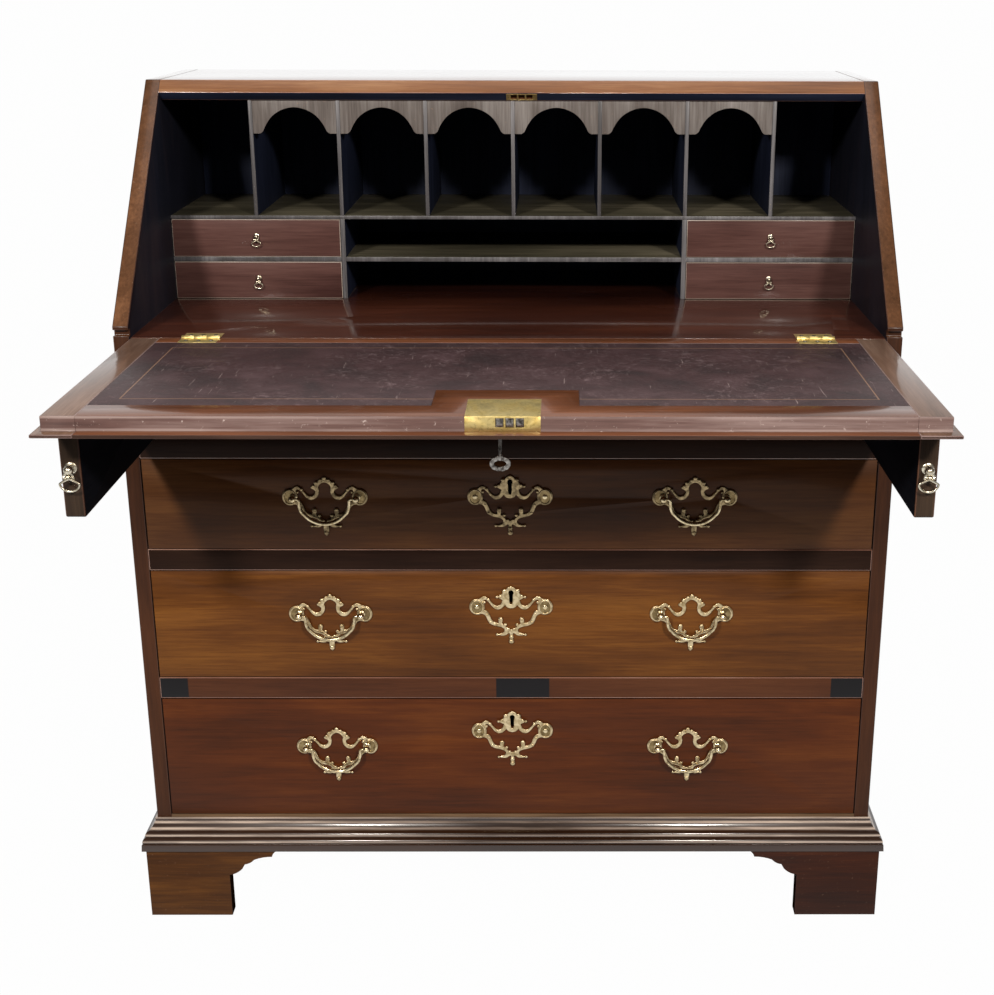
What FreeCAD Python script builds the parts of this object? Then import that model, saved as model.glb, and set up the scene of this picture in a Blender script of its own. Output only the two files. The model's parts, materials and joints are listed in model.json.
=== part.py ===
import FreeCAD, Part
import math
import os
import re

import Sketcher
from FreeCAD import Placement, Rotation, Vector

# A slant-front desk, shown open: the fall rests on two pulled-out lopers.
# All lengths are millimetres. X runs across the desk, Y from front to back, Z up.
# Places are worked out from the carcase's front plane, and every finished piece
# is then moved by front_plane_y, so that the origin is the middle of the footprint.

doc = FreeCAD.newDocument("SlantFrontDesk")
sheet = doc.addObject("Spreadsheet::Sheet", "Sizes")

DRIVING = {
    # Carcase
    "carcase_width": 950,
    "carcase_depth": 480,
    "side_thick": 19,
    "top_thick": 25.5,
    "bottom_thick": 20,
    "back_thick": 12,
    "back_board_count": 4,
    "foot_height": 100.5,
    "plinth_height": 45.5,
    "low_opening_height": 170.7,
    "low_rail_height": 29.3,
    "middle_opening_height": 148.3,
    "middle_rail_height": 28.4,
    "top_opening_height": 119,
    "top_rail_height": 26,
    "loper_zone_height": 104.6,
    "gallery_height": 260.3,
    "rail_depth": 60,
    "base_rail_thick": 20,
    "frieze_thick": 20,
    "runner_width": 30,
    "dust_board_thick": 8,
    "guide_thick": 12,
    "notch_rise": 4.3,
    "notch_height": 7,
    "notch_depth": 7,
    "band_width": 20.5,
    # Clearances
    "slide_gap": 0.3,
    "board_gap": 0.6,
    "drawer_gap": 0.8,
    "pin_gap": 0.05,
    "overrun": 5,
    # Base moulding and bracket feet
    "moulding_drop": 4.2,
    "moulding_reach": 19.7,
    "foot_thick": 20,
    "foot_reach": 15,
    "foot_post_width": 109,
    "foot_post_height": 62,
    "bracket_length": 71,
    "rear_bracket_length": 60,
    "block_width": 46,
    # Fall
    "slope_angle": 47,
    "hinge_setback": 7,
    "fall_thick": 19.4,
    "lip_thick": 3.8,
    "lip_side": 7.7,
    "lip_reach": 14,
    "lip_start": 7.5,
    "clamp_width": 35.4,
    "leather_thick": 1.3,
    "leather_sink": 0.2,
    "leather_gap": 0.25,
    "leather_rear_margin": 24,
    "leather_front_margin": 42,
    "notch_left": 69,
    "notch_right": 82,
    "lock_field_depth": 63,
    # Lock, bolts and key
    "plate_left": 33,
    "plate_right": 43,
    "lock_plate_depth": 68,
    "lock_plate_thick": 1.5,
    "case_margin": 5,
    "case_height": 12.2,
    "case_depth": 60,
    "case_wall": 1.5,
    "bolt_centre_x": 12,
    "bolt_width": 7.6,
    "bolt_pitch": 10.2,
    "bolt_height": 9,
    "bolt_drop": 2.1,
    "bolt_length": 11,
    "bolt_bar_depth": 8,
    "strike_gap": 2,
    "mortise_depth": 9,
    "strike_thick": 1.5,
    "strike_margin": 6,
    "key_x": 1,
    "key_setback": 29,
    "key_shaft_radius": 1.9,
    "key_tip_drop": 5.5,
    "key_shaft_length": 46.5,
    "key_bit_length": 8,
    "key_bit_height": 5,
    "key_bit_thick": 2,
    "key_bow_width": 22,
    "key_bow_height": 16,
    "key_bow_band": 4.4,
    "key_bow_thick": 3.4,
    "key_collar_radius": 3,
    "key_collar_height": 3,
    "keyhole_slot": 10,
    "keyhole_slot_width": 3.2,
    # Fall hinges
    "hinge_margin": 26,
    "hinge_width": 46,
    "knuckle_radius": 3,
    "hinge_pin_radius": 1.5,
    "leaf_thick": 1.5,
    "bed_leaf_depth": 27,
    "knuckle_count": 3,
    # Lopers
    "loper_width": 21,
    "loper_out": 298,
    "loper_rear_gap": 22,
    "loper_edge_radius": 3,
    "loper_pull_drop": 49.4,
    # Drop pull, as made for a loper
    "rose_radius": 6.5,
    "rose_thick": 1.2,
    "stem_radius": 2.2,
    "ball_radius": 5,
    "ball_reach": 9,
    "ear_x": 4.4,
    "yoke_drop": 3.8,
    "yoke_radius": 1.3,
    "ear_drop": 7.4,
    "ear_arm_radius": 1.6,
    "ear_radius": 2.3,
    "ear_thick": 3.4,
    "drop_pin_radius": 1,
    "barrel_radius": 2.1,
    "barrel_half": 1.5,
    "drop_neck": 2.5,
    "drop_half_width": 11.5,
    "drop_shoulder": 6.8,
    "drop_depth": 16.7,
    "drop_wire": 2.4,
    # Long drawers
    "drawer_front_thick": 20,
    "drawer_rear_gap": 28,
    "drawer_side_thick": 10,
    "drawer_bottom_thick": 8,
    "drawer_bottom_rise": 6,
    "drawer_side_drop": 12,
    "drawer_run_gap": 2,
    "handle_inset": 226,
    "low_handle_height": 102,
    "middle_handle_height": 90,
    "top_handle_height": 69.8,
    "low_lock_height": 124.5,
    "middle_lock_height": 99.5,
    "top_lock_height": 70.5,
    "drawer_lock_width": 60,
    "drawer_lock_thick": 9,
    "drawer_lock_below": 12,
    # Pierced plates, posts and bails
    "plate_half_width": 53,
    "lobe_half_width": 9.6,
    "lobe_half_height": 10.9,
    "brass_thick": 1.6,
    "post_x": 39.3,
    "post_play": 0.1,
    "plate_keyhole_z": 19.4,
    "plate_keyhole_radius": 3.7,
    "plate_keyhole_slot_width": 5,
    "plate_keyhole_drop": 16,
    "post_shank_radius": 2.5,
    "post_collar_radius": 4.6,
    "post_collar_thick": 1.6,
    "post_ball_radius": 4.8,
    "post_reach": 9.5,
    "post_nut_radius": 5,
    "post_nut_thick": 3,
    "screw_head_radius": 3.2,
    "screw_head_thick": 1.6,
    "bail_end_radius": 1.7,
    "bail_half_width": 31,
    "bail_join_angle": 32,
    "bail_side_radius": 22,
    "bail_side_drop": 6,
    "bail_end_reach": 1.6,
    # Gallery
    "gallery_gap": 1.2,
    "bay_count": 8,
    "divider_thick": 5,
    "shelf_thick": 4.5,
    "shelf_height": 111.3,
    "partition_bay_count": 2,
    "partition_thick": 6,
    "middle_shelf_height": 50.3,
    "middle_shelf_thick": 6,
    "valance_thick": 5,
    "valance_setback": 1,
    "valance_crown_drop": 9,
    "valance_cusp_drop": 42.6,
    "small_front_thick": 9,
    "small_side_thick": 6,
    "small_bottom_thick": 4,
    "small_drawer_gap": 0.6,
    "small_pull_rise": 2.5,
    "small_pull_share": 0.58,
}

DERIVED = {
    "half_width": "carcase_width / 2",
    "inner_half": "half_width - side_thick",
    "inner_depth": "carcase_depth - back_thick",
    "handle_x": "inner_half - handle_inset",
    "drawer_box_depth": "inner_depth - drawer_rear_gap",
    "loper_length": "inner_depth - loper_rear_gap",
    "loper_pull_inset": "loper_width / 2",
    "moulding_height": "plinth_height - moulding_drop",
    # Levels, from the floor up
    "bottom_level": "foot_height + plinth_height",
    "low_rail_level": "bottom_level + low_opening_height",
    "middle_opening_level": "low_rail_level + low_rail_height",
    "middle_rail_level": "middle_opening_level + middle_opening_height",
    "top_opening_level": "middle_rail_level + middle_rail_height",
    "top_rail_level": "top_opening_level + top_opening_height",
    "loper_level": "top_rail_level + top_rail_height",
    "fall_level": "loper_level + loper_zone_height",
    "lip_level": "fall_level + lip_thick",
    "bed_level": "fall_level + fall_thick",
    "ceiling_level": "bed_level + gallery_height",
    "crown_level": "ceiling_level + top_thick",
    # The slope lies outside the closed fall's inner part
    "slant_offset": "fall_thick - lip_thick - slide_gap",
    "fall_swing": "180 - slope_angle",
    "slant_front_z": ("bed_level + slant_offset / cos(slope_angle)"
                      " - hinge_setback * tan(slope_angle)"),
    "slant_top_y": ("hinge_setback + (crown_level - bed_level"
                    " - slant_offset / cos(slope_angle)) / tan(slope_angle)"),
    "band_low_y": "slant_top_y - band_width * cos(slope_angle)",
    "band_low_z": "crown_level - band_width * sin(slope_angle)",
    "rebate_depth": "(band_low_z - ceiling_level) / cos(slope_angle)",
    "rebate_y": "band_low_y + rebate_depth * sin(slope_angle)",
    # The fall ends a strike gap short of the rebate's face when it is closed
    "fall_length": ("(slant_top_y - hinge_setback) * cos(slope_angle)"
                    " + (crown_level - bed_level) * sin(slope_angle)"
                    " - band_width - strike_gap"),
    "fall_reach": "fall_length + lip_reach - hinge_setback",
    "front_plane_y": "(fall_reach - carcase_depth) / 2",
    "arris_y": "hinge_setback - fall_length",
    "lip_front_y": "arris_y - lip_reach",
    "lip_rear_y": "hinge_setback - lip_start",
    "fall_rear_y": "hinge_setback - board_gap / 2",
    "bed_front_y": "hinge_setback + board_gap / 2",
    "fall_half": "inner_half - board_gap",
    "panel_half": "fall_half - clamp_width",
    "leather_rear_y": "hinge_setback - leather_rear_margin",
    "leather_front_y": "arris_y + leather_front_margin",
    "leather_field_y": "leather_front_y + lock_field_depth",
    "key_y": "arris_y + key_setback",
    "keyhole_radius": "key_shaft_radius + slide_gap",
    "fall_leaf_depth": "leather_rear_margin",
    "hinge_inner_x": "panel_half - hinge_width - hinge_margin",
    # Loper channel
    "loper_outer": "inner_half - board_gap",
    "loper_inner": "loper_outer - loper_width",
    "guide_outer": "loper_inner - board_gap",
    "guide_inner": "guide_outer - guide_thick",
    # Gallery
    "gallery_y": "rebate_y + gallery_gap",
    "bay": "inner_half * 2 / bay_count",
    "shelf_level": "bed_level + shelf_height",
    "middle_shelf_level": "bed_level + middle_shelf_height",
    "partition_x": "partition_bay_count * bay",
    # Pierced plates
    "lobe_x": "plate_half_width - lobe_half_width",
    "post_hole_radius": "post_shank_radius + post_play",
    # Three-centred curve of a bail
    "bail_inset": "bail_half_width - bail_side_radius",
    "bail_centre_z": "bail_inset * tan(bail_join_angle) - bail_side_drop",
    "bail_bottom_radius": "bail_side_radius + bail_inset / cos(bail_join_angle)",
}


def fill_sheet():
    """Writes the driving sizes as plain numbers and the derived ones as formulas."""
    row = 1
    for name, content in list(DRIVING.items()) + list(DERIVED.items()):
        sheet.set(f"A{row}", name)
        text = str(content) if name in DRIVING else "=" + content
        sheet.set(f"B{row}", text)
        sheet.setAlias(f"B{row}", name)
        row += 1
    doc.recompute()


fill_sheet()
WORDS = re.compile(r"\b(" + "|".join(list(DRIVING) + list(DERIVED)) + r")\b")


def bound(text):
    """Turns a formula in plain size names into one that reads the sheet."""
    return WORDS.sub(r"Sizes.\1", str(text))


def value(text):
    """Works out a formula in plain size names."""
    return float(sheet.evalExpression(bound(text)))


def bind(piece, place, text):
    """Binds one property of a piece to a formula."""
    piece.setExpression(place, bound(text))


# Building blocks

def board(name, x, y, z):
    """A squared board between two places along each axis."""
    box = doc.addObject("Part::Box", name)
    for size, axis, (low, high) in zip(("Length", "Width", "Height"), "xyz", (x, y, z)):
        bind(box, size, f"({high}) - ({low})")
        bind(box, f"Placement.Base.{axis}", low)
    return box


def on_side(side, low, high):
    """A stretch across the desk, given for the right side, on the side asked for."""
    return (low, high) if side > 0 else (f"-({high})", f"-({low})")


# Small turned pieces and wires are modelled with a few flat sides
RING_SIDES = 12
BAR_SIDES = 8
WIRE_SIDES = 6


def rod(name, axis, radius, low, high, centre, sides=None):
    """A bar along one axis; centre gives its other two coordinates in order.

    It is round, or has that many flat sides with their corners on the radius.
    """
    turns = {"x": Rotation(Vector(0, 1, 0), 90), "y": Rotation(Vector(1, 0, 0), -90),
             "z": Rotation()}
    turn = turns[axis]
    bar = doc.addObject("Part::Prism" if sides else "Part::Cylinder", name)
    if sides:
        bar.Polygon = sides
        turn = turn.multiply(Rotation(Vector(0, 0, 1), 180 / sides))
    bar.Placement = Placement(Vector(), turn)
    bind(bar, "Circumradius" if sides else "Radius", radius)
    bind(bar, "Height", f"({high}) - ({low})")
    places = list(centre)
    places.insert("xyz".index(axis), low)
    for letter, place in zip("xyz", places):
        bind(bar, f"Placement.Base.{letter}", place)
    return bar


def flat_bore(name, axis, radius, low, high, centre):
    """A bore with flat sides that just clears a bar of the radius, pin_gap all round."""
    return rod(name, axis, f"({radius} + pin_gap) / cos(180 / {WIRE_SIDES})", low, high,
               centre, WIRE_SIDES)


def ball(name, radius, centre):
    """A ball with few faces: what three eight-sided bars share where they cross."""
    shape = None
    for axis in "xyz":
        others = [place for letter, place in zip("xyz", centre) if letter != axis]
        middle = centre["xyz".index(axis)]
        bar = rod(f"{name}_{axis}", axis, radius, f"{middle} - {radius}",
                  f"{middle} + {radius}", others, BAR_SIDES)
        if shape is None:
            shape = bar
        else:
            common = doc.addObject("Part::Common", f"{name}_to_{axis}")
            common.Base = shape
            common.Tool = bar
            shape = common
    return shape


def joined(name, pieces):
    """One solid made of overlapping shapes."""
    fuse = doc.addObject("Part::MultiFuse", name)
    fuse.Shapes = pieces
    return fuse


def group(name, pieces):
    """Separate solids kept together."""
    compound = doc.addObject("Part::Compound", name)
    compound.Links = pieces
    return compound


def cut(name, base, tools):
    """A shape less one or more others."""
    tool = tools[0] if len(tools) == 1 else group(name + "_tools", tools)
    result = doc.addObject("Part::Cut", name)
    result.Base = base
    result.Tool = tool
    return result


def body(name):
    """An empty body."""
    return doc.addObject("PartDesign::Body", name)


def plane_of(owner, role):
    """One of a body's own origin planes."""
    return next(item for item in owner.Origin.OriginFeatures if item.Role == role)


def new_sketch(owner, name, role, lift=None):
    """A sketch on one of the body's planes, lifted off it by a formula if given."""
    sketch = owner.newObject("Sketcher::SketchObject", name)
    sketch.AttachmentSupport = [(plane_of(owner, role), "")]
    sketch.MapMode = "FlatFace"
    if lift is not None:
        bind(sketch, "AttachmentOffset.Base.z", lift)
    return sketch


def hold_point(sketch, edge, end, x, y):
    """Ties a sketch point to two formulas."""
    for kind, text in (("DistanceX", x), ("DistanceY", y)):
        index = sketch.addConstraint(
            Sketcher.Constraint(kind, -1, 1, edge, end, value(text)))
        bind(sketch, f"Constraints[{index}]", text)


def arc_between(start, end, radius, turn):
    """The shorter arc of a radius from start to end, turning left or right."""
    chord = end - start
    across = Vector(-chord.y, chord.x, 0).normalize()
    if turn == "right":
        across = across * -1
    rise = math.sqrt(max(radius ** 2 - (chord.Length / 2) ** 2, 0))
    centre = (start + end) * 0.5 + across * rise
    return Part.Arc(start, centre - across * radius, end)


def draw(sketch, start, *runs, closed=True):
    """Draws an outline of lines ("line", x, y) and arcs ("arc", x, y, radius, turn).

    A closed outline ends at its start, with one more line if its runs stop short of it.
    """
    corners = [tuple(start)] + [tuple(run[1:3]) for run in runs]
    if closed and corners[-1] != corners[0]:
        runs = runs + (("line",) + corners[0],)
        corners.append(corners[0])
    here = Vector(value(start[0]), value(start[1]), 0)
    first = None
    last = None
    for place, run in enumerate(runs):
        there = Vector(value(run[1]), value(run[2]), 0)
        if run[0] == "line":
            edge = sketch.addGeometry(Part.LineSegment(here, there), False)
            ends = (1, 2)
        else:
            arc = arc_between(here, there, value(run[3]), run[4])
            edge = sketch.addGeometry(arc, False)
            swapped = sketch.getPoint(edge, 1).distanceToPoint(there) < \
                sketch.getPoint(edge, 1).distanceToPoint(here)
            ends = (2, 1) if swapped else (1, 2)
            index = sketch.addConstraint(
                Sketcher.Constraint("Radius", edge, value(run[3])))
            bind(sketch, f"Constraints[{index}]", run[3])
        if last is None:
            first = (edge, ends[0])
        else:
            sketch.addConstraint(
                Sketcher.Constraint("Coincident", last[0], last[1], edge, ends[0]))
        hold_point(sketch, edge, ends[0], *corners[place])
        last = (edge, ends[1])
        here = there
    if closed:
        sketch.addConstraint(Sketcher.Constraint("Coincident", *last, *first))
    else:
        hold_point(sketch, *last, *corners[-1])


def draw_ring(sketch, sides, x, y, half_width, half_height):
    """Draws a ring of straight sides about a place, with a side across each axis."""
    corners = []
    for index in range(sides):
        angle = (2 * index + 1) * 180 / sides
        corners.append((f"{x} + ({half_width}) * cos({angle})",
                        f"{y} + ({half_height}) * sin({angle})"))
    draw(sketch, corners[0], *[("line",) + corner for corner in corners[1:]])


def pad(owner, sketch, length, both_ways=False):
    """Raises a sketch by a length."""
    raised = owner.newObject("PartDesign::Pad", sketch.Name + "_pad")
    raised.Profile = sketch
    raised.Midplane = both_ways
    bind(raised, "Length", length)
    return raised


def pocket_through(owner, sketch):
    """Cuts a sketch right through, both ways."""
    hollow = owner.newObject("PartDesign::Pocket", sketch.Name + "_pocket")
    hollow.Profile = sketch
    hollow.Type = 1
    hollow.Midplane = True
    return hollow


def linked(name, original, x, y, z):
    """A further copy of a finished piece, at its own place."""
    link = doc.addObject("App::Link", name)
    link.LinkedObject = original
    link.LinkTransform = False
    for letter, place in zip("xyz", (x, y, z)):
        bind(link, f"Placement.Base.{letter}", place)
    return link


NODES = []


def node(name, *pieces):
    """Names a finished sub-part and sets it in the part's own frame."""
    whole = pieces[0]
    if len(pieces) > 1 or whole.isDerivedFrom("Part::Box"):
        whole = group(name + "_group", list(pieces))
    whole.Label = name
    bind(whole, "Placement.Base.y", "front_plane_y")
    NODES.append(whole)
    return whole


SIDES = (("left", -1), ("right", 1))
ACROSS = ("-inner_half", "inner_half")


# Carcase

def side_board(name, side):
    """One end of the carcase: upright, with a slanted upper front edge."""
    owner = body(name + "_body")
    sketch = new_sketch(owner, name + "_outline", "YZ_Plane")
    notch_top = "slant_front_z - notch_rise"
    notch_low = "slant_front_z - notch_rise - notch_height"
    draw(sketch, ("0", "foot_height"), ("line", "carcase_depth", "foot_height"),
         ("line", "carcase_depth", "crown_level"), ("line", "slant_top_y", "crown_level"),
         ("line", "0", "slant_front_z"), ("line", "0", notch_top),
         ("line", "notch_depth", notch_top), ("line", "notch_depth", notch_low),
         ("line", "0", notch_low))
    pad(owner, sketch, "side_thick")
    bind(owner, "Placement.Base.x", "inner_half" if side > 0 else "-half_width")
    return node(name, owner)


def in_closed_fall(name, pieces):
    """Shapes drawn about the hinge line of the open fall, swung up with it."""
    swung = group(name, pieces)
    swung.Placement = Placement(Vector(), Rotation(Vector(-1, 0, 0), 1))
    bind(swung, "Placement.Rotation.Angle", "fall_swing")
    bind(swung, "Placement.Base.y", "hinge_setback")
    bind(swung, "Placement.Base.z", "bed_level")
    return swung


def bolt_spans(margin):
    """The three bolts' stretches across the desk, widened by a margin."""
    spans = []
    for step in (-1, 0, 1):
        middle = f"bolt_centre_x + {step} * bolt_pitch"
        spans.append((f"{middle} - bolt_width / 2 - {margin}",
                      f"{middle} + bolt_width / 2 + {margin}"))
    return spans


BOLT_TOP = "0 - bolt_drop"
BOLT_LOW = "0 - bolt_drop - bolt_height"
STRIKE_FACE = "0 - fall_length - strike_gap"
STRIKE_X = ("bolt_centre_x - bolt_pitch - bolt_width / 2 - strike_margin",
            "bolt_centre_x + bolt_pitch + bolt_width / 2 + strike_margin")
STRIKE_Z = (f"{BOLT_LOW} - slide_gap - case_wall", f"{BOLT_TOP} + slide_gap + case_wall / 2")


def top_board():
    """The top, whose front carries a band on the slope and a rebate for the fall."""
    owner = body("top_board_body")
    sketch = new_sketch(owner, "top_board_outline", "YZ_Plane")
    draw(sketch, ("rebate_y", "ceiling_level"), ("line", "carcase_depth", "ceiling_level"),
         ("line", "carcase_depth", "crown_level"), ("line", "slant_top_y", "crown_level"),
         ("line", "band_low_y", "band_low_z"))
    pad(owner, sketch, "inner_half * 2", both_ways=True)
    holes = [board(f"bolt_mortise_{index}", span,
                   (f"{STRIKE_FACE} - mortise_depth", f"{STRIKE_FACE} + overrun"),
                   (f"{BOLT_LOW} - slide_gap", f"{BOLT_TOP} + slide_gap"))
             for index, span in enumerate(bolt_spans("slide_gap"))]
    recess = board("strike_recess", STRIKE_X,
                   (f"{STRIKE_FACE} - strike_thick", f"{STRIKE_FACE} + overrun"), STRIKE_Z)
    tools = in_closed_fall("top_board_hollows", holes + [recess])
    node("top_board", cut("top_board_cut", owner, [tools]))


def strike_plate():
    """The plate in the top's rebate that the fall's bolts shoot through."""
    plate = board("strike_blank", STRIKE_X, (f"{STRIKE_FACE} - strike_thick", STRIKE_FACE),
                  STRIKE_Z)
    holes = [board(f"strike_hole_{index}", span,
                   (f"{STRIKE_FACE} - overrun", f"{STRIKE_FACE} + overrun"),
                   (f"{BOLT_LOW} - slide_gap", f"{BOLT_TOP} + slide_gap"))
             for index, span in enumerate(bolt_spans("slide_gap"))]
    pierced = cut("strike_pierced", plate, holes)
    node("strike_plate", group("strike_set", [in_closed_fall("strike_swung", [pierced])]))


def back_boards():
    """Upright boards, edge to edge, that close the back between the sides."""
    step = "inner_half * 2 / back_board_count"
    node("back_boards", *[board(f"back_board_{index + 1}",
                                (f"-inner_half + {index} * {step}",
                                 f"-inner_half + {index + 1} * {step}"),
                                ("inner_depth", "carcase_depth"),
                                ("bottom_level - bottom_thick", "ceiling_level"))
                          for index in range(int(value("back_board_count")))])


def front_rails():
    """The base rail, the rails between the drawers and the frieze between the lopers."""
    bands = (("base_rail", ACROSS, "base_rail_thick", "foot_height",
              "bottom_level - bottom_thick"),
             ("low_rail", ACROSS, "rail_depth", "low_rail_level", "middle_opening_level"),
             ("middle_rail", ACROSS, "rail_depth", "middle_rail_level", "top_opening_level"),
             ("top_rail", ACROSS, "rail_depth", "top_rail_level", "loper_level"),
             ("frieze_board", ("-guide_inner", "guide_inner"), "frieze_thick",
              "loper_level", "fall_level - slide_gap"))
    node("front_rails", *[board(name, x, ("0", depth), (low, high))
                          for name, x, depth, low, high in bands])


RAIL_LEVELS = (("low", "low_rail_level", "middle_opening_level"),
               ("middle", "middle_rail_level", "top_opening_level"),
               ("top", "top_rail_level", "loper_level"))


def runners_and_dust_boards():
    """Runners along both sides behind each rail, with a dust board between them."""
    runners = []
    boards = []
    for name, low, high in RAIL_LEVELS:
        for side_name, side in SIDES:
            runners.append(board(f"{name}_runner_{side_name}",
                                 on_side(side, "inner_half - runner_width", "inner_half"),
                                 ("rail_depth", "inner_depth"), (low, high)))
        middle = f"({low} + {high}) / 2"
        boards.append(board(f"{name}_dust_board",
                            ("runner_width - inner_half", "inner_half - runner_width"),
                            ("rail_depth", "inner_depth"),
                            (f"{middle} - dust_board_thick / 2",
                             f"{middle} + dust_board_thick / 2")))
    node("drawer_runners", *runners)
    node("dust_boards", *boards)


def loper_guides():
    """The upright boards that keep each loper against its side."""
    node("loper_guides", *[board(f"loper_guide_{name}",
                                 on_side(side, "guide_inner", "guide_outer"),
                                 ("0", "inner_depth"),
                                 ("loper_level", "fall_level - slide_gap"))
                           for name, side in SIDES])


# Base moulding: heights and reaches as shares of the moulding's own
MOULDING_shares = (("line", 1.0, 0.0), ("line", 0.97, 0.22), ("line", 0.88, 0.24),
                   ("arc", 0.80, 0.42, 0.13, "left"), ("line", 0.72, 0.44),
                   ("arc", 0.60, 0.62, 0.14, "left"), ("line", 0.50, 0.64),
                   ("arc", 0.18, 0.86, 0.45, "right"), ("line", 0.12, 0.88),
                   ("line", 0.12, 1.0), ("line", 0.0, 1.0))


def moulding_profile(sketch, outward):
    """The moulding's section; outward is the formula of its face plane and its sign."""
    base, sign = outward
    runs = []
    for kind, reach, height, *bend in MOULDING_shares:
        place = (f"{base} {sign} moulding_reach * {reach}",
                 f"foot_height + moulding_height * {height}")
        if bend:
            turn = bend[1] if sign == "+" else {"left": "right", "right": "left"}[bend[1]]
            runs.append((kind,) + place + (f"moulding_height * {bend[0]}", turn))
        else:
            runs.append((kind,) + place)
    draw(sketch, (base, "foot_height"), *runs)


def mitre(owner, name, x, side, behind):
    """Cuts the 45 degree mitre at a front corner off one of the two pieces there."""
    sketch = new_sketch(owner, name, "XY_Plane")
    far = "(moulding_reach + overrun)"
    outer = f"{x} + {side} * {far}"
    if behind:
        draw(sketch, (x, "0"), ("line", outer, f"-{far}"), ("line", outer, "0"))
    else:
        draw(sketch, (x, "0"), ("line", outer, f"-{far}"), ("line", x, f"-{far}"))
    pocket_through(owner, sketch)


def base_moulding():
    """The moulding round the front and sides, in three mitred lengths."""
    front = body("moulding_front")
    sketch = new_sketch(front, "moulding_front_section", "YZ_Plane")
    moulding_profile(sketch, ("0", "-"))
    pad(front, sketch, "(half_width + moulding_reach) * 2", both_ways=True)
    for name, side in SIDES:
        mitre(front, f"front_mitre_{name}", f"{side} * half_width", side, behind=True)
    lengths = [front]
    for name, side in SIDES:
        owner = body(f"moulding_{name}")
        sketch = new_sketch(owner, f"moulding_{name}_section", "XZ_Plane",
                            lift="0 - carcase_depth")
        sign = "+" if side > 0 else "-"
        moulding_profile(sketch, (f"{side} * half_width", sign))
        pad(owner, sketch, "carcase_depth + moulding_reach")
        mitre(owner, f"side_mitre_{name}", f"{side} * half_width", side, behind=False)
        lengths.append(owner)
    node("base_moulding", *lengths)


# Bracket feet: the bracket's edge from the post's top inwards, as shares of
# bracket_length across and of the height left above the post
BRACKET_shares = (("arc", 0.25, 0.25, 0.75, "right"), ("line", 0.30, 0.42),
                  ("arc", 0.48, 0.60, 0.50, "right"), ("arc", 0.82, 0.72, 1.6, "left"),
                  ("arc", 1.0, 1.0, 0.36, "left"))


def bracket_outline(sketch, outer, sign, top="foot_height"):
    """A foot's face: a post at the corner and a cyma bracket along the moulding."""
    rise = f"({top} - foot_post_height)"
    inner = f"{outer} {sign} foot_post_width"
    flip = {"left": "right", "right": "left"}
    runs = [("line", inner, "0"), ("line", inner, "foot_post_height")]
    for kind, across, up, *bend in BRACKET_shares:
        place = (f"{inner} {sign} bracket_length * {across}",
                 f"foot_post_height + {rise} * {up}")
        if bend:
            turn = bend[1] if sign == "-" else flip[bend[1]]
            runs.append((kind,) + place + (f"{rise} * {bend[0]}", turn))
        else:
            runs.append((kind,) + place)
    runs.append(("line", outer, top))
    draw(sketch, (outer, "0"), *runs)


def bracket_feet():
    """Two mitred brackets at each front corner, one and a plain brace at the back."""
    pieces = []
    for name, side in SIDES:
        outer = f"{side} * (half_width + foot_reach)"
        inward = "-" if side > 0 else "+"
        front = body(f"foot_front_{name}")
        sketch = new_sketch(front, f"foot_front_{name}_outline", "XZ_Plane",
                            lift="foot_reach - foot_thick")
        bracket_outline(sketch, outer, inward)
        pad(front, sketch, "foot_thick")
        mitre(front, f"foot_front_{name}_mitre", f"{side} * half_width", side, behind=True)
        lean = new_sketch(front, f"foot_front_{name}_back_mitre", "XY_Plane")
        back = "foot_thick"
        draw(lean, (f"{side} * half_width", "0"), ("line", outer, "0"),
             ("line", outer, back), ("line", f"{side} * (half_width - {back})", back))
        pocket_through(front, lean)
        pieces.append(front)
        for place in ("front", "rear"):
            flank = body(f"foot_side_{place}_{name}")
            low = "half_width + foot_reach - foot_thick"
            sketch = new_sketch(flank, f"foot_side_{place}_{name}_outline", "YZ_Plane",
                                lift=low if side > 0 else "0 - half_width - foot_reach")
            if place == "front":
                bracket_outline(sketch, "-foot_reach", "+")
            else:
                bracket_outline(sketch, "carcase_depth", "-")
            pad(flank, sketch, "foot_thick")
            if place == "front":
                mitre(flank, f"foot_side_{name}_mitre", f"{side} * half_width", side,
                      behind=False)
                lean = new_sketch(flank, f"foot_side_{name}_back_mitre", "XY_Plane")
                near = f"{side} * (half_width - overrun - {back})"
                draw(lean, (f"{side} * half_width", "0"),
                     ("line", f"{side} * (half_width - overrun - {back})",
                      "overrun + foot_thick"),
                     ("line", near, "-moulding_reach"),
                     ("line", f"{side} * half_width", "-moulding_reach"))
                pocket_through(flank, lean)
            pieces.append(flank)
        brace = body(f"foot_brace_{name}")
        sketch = new_sketch(brace, f"foot_brace_{name}_outline", "XZ_Plane",
                            lift="0 - carcase_depth")
        edge = f"{side} * (half_width + foot_reach - foot_thick)"
        foot_in = f"{edge} {inward} block_width"
        far_in = f"{foot_in} {inward} rear_bracket_length"
        draw(sketch, (edge, "0"), ("line", foot_in, "0"), ("line", far_in, "foot_height"),
             ("line", edge, "foot_height"))
        pad(brace, sketch, "foot_thick")
        pieces.append(brace)
    node("bracket_feet", *pieces)


def foot_blocks():
    """The square blocks that carry the weight inside the four feet."""
    outer = "half_width + foot_reach - foot_thick"
    blocks = []
    for name, side in SIDES:
        x = on_side(side, f"{outer} - block_width", outer)
        blocks.append(board(f"foot_block_front_{name}", x,
                            ("foot_thick - foot_reach", "foot_thick - foot_reach + block_width"),
                            ("0", "foot_height")))
        blocks.append(board(f"foot_block_rear_{name}", x,
                            ("carcase_depth - foot_thick - block_width",
                             "carcase_depth - foot_thick"), ("0", "foot_height")))
    node("foot_blocks", *blocks)


# Fall and its hinges

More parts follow.
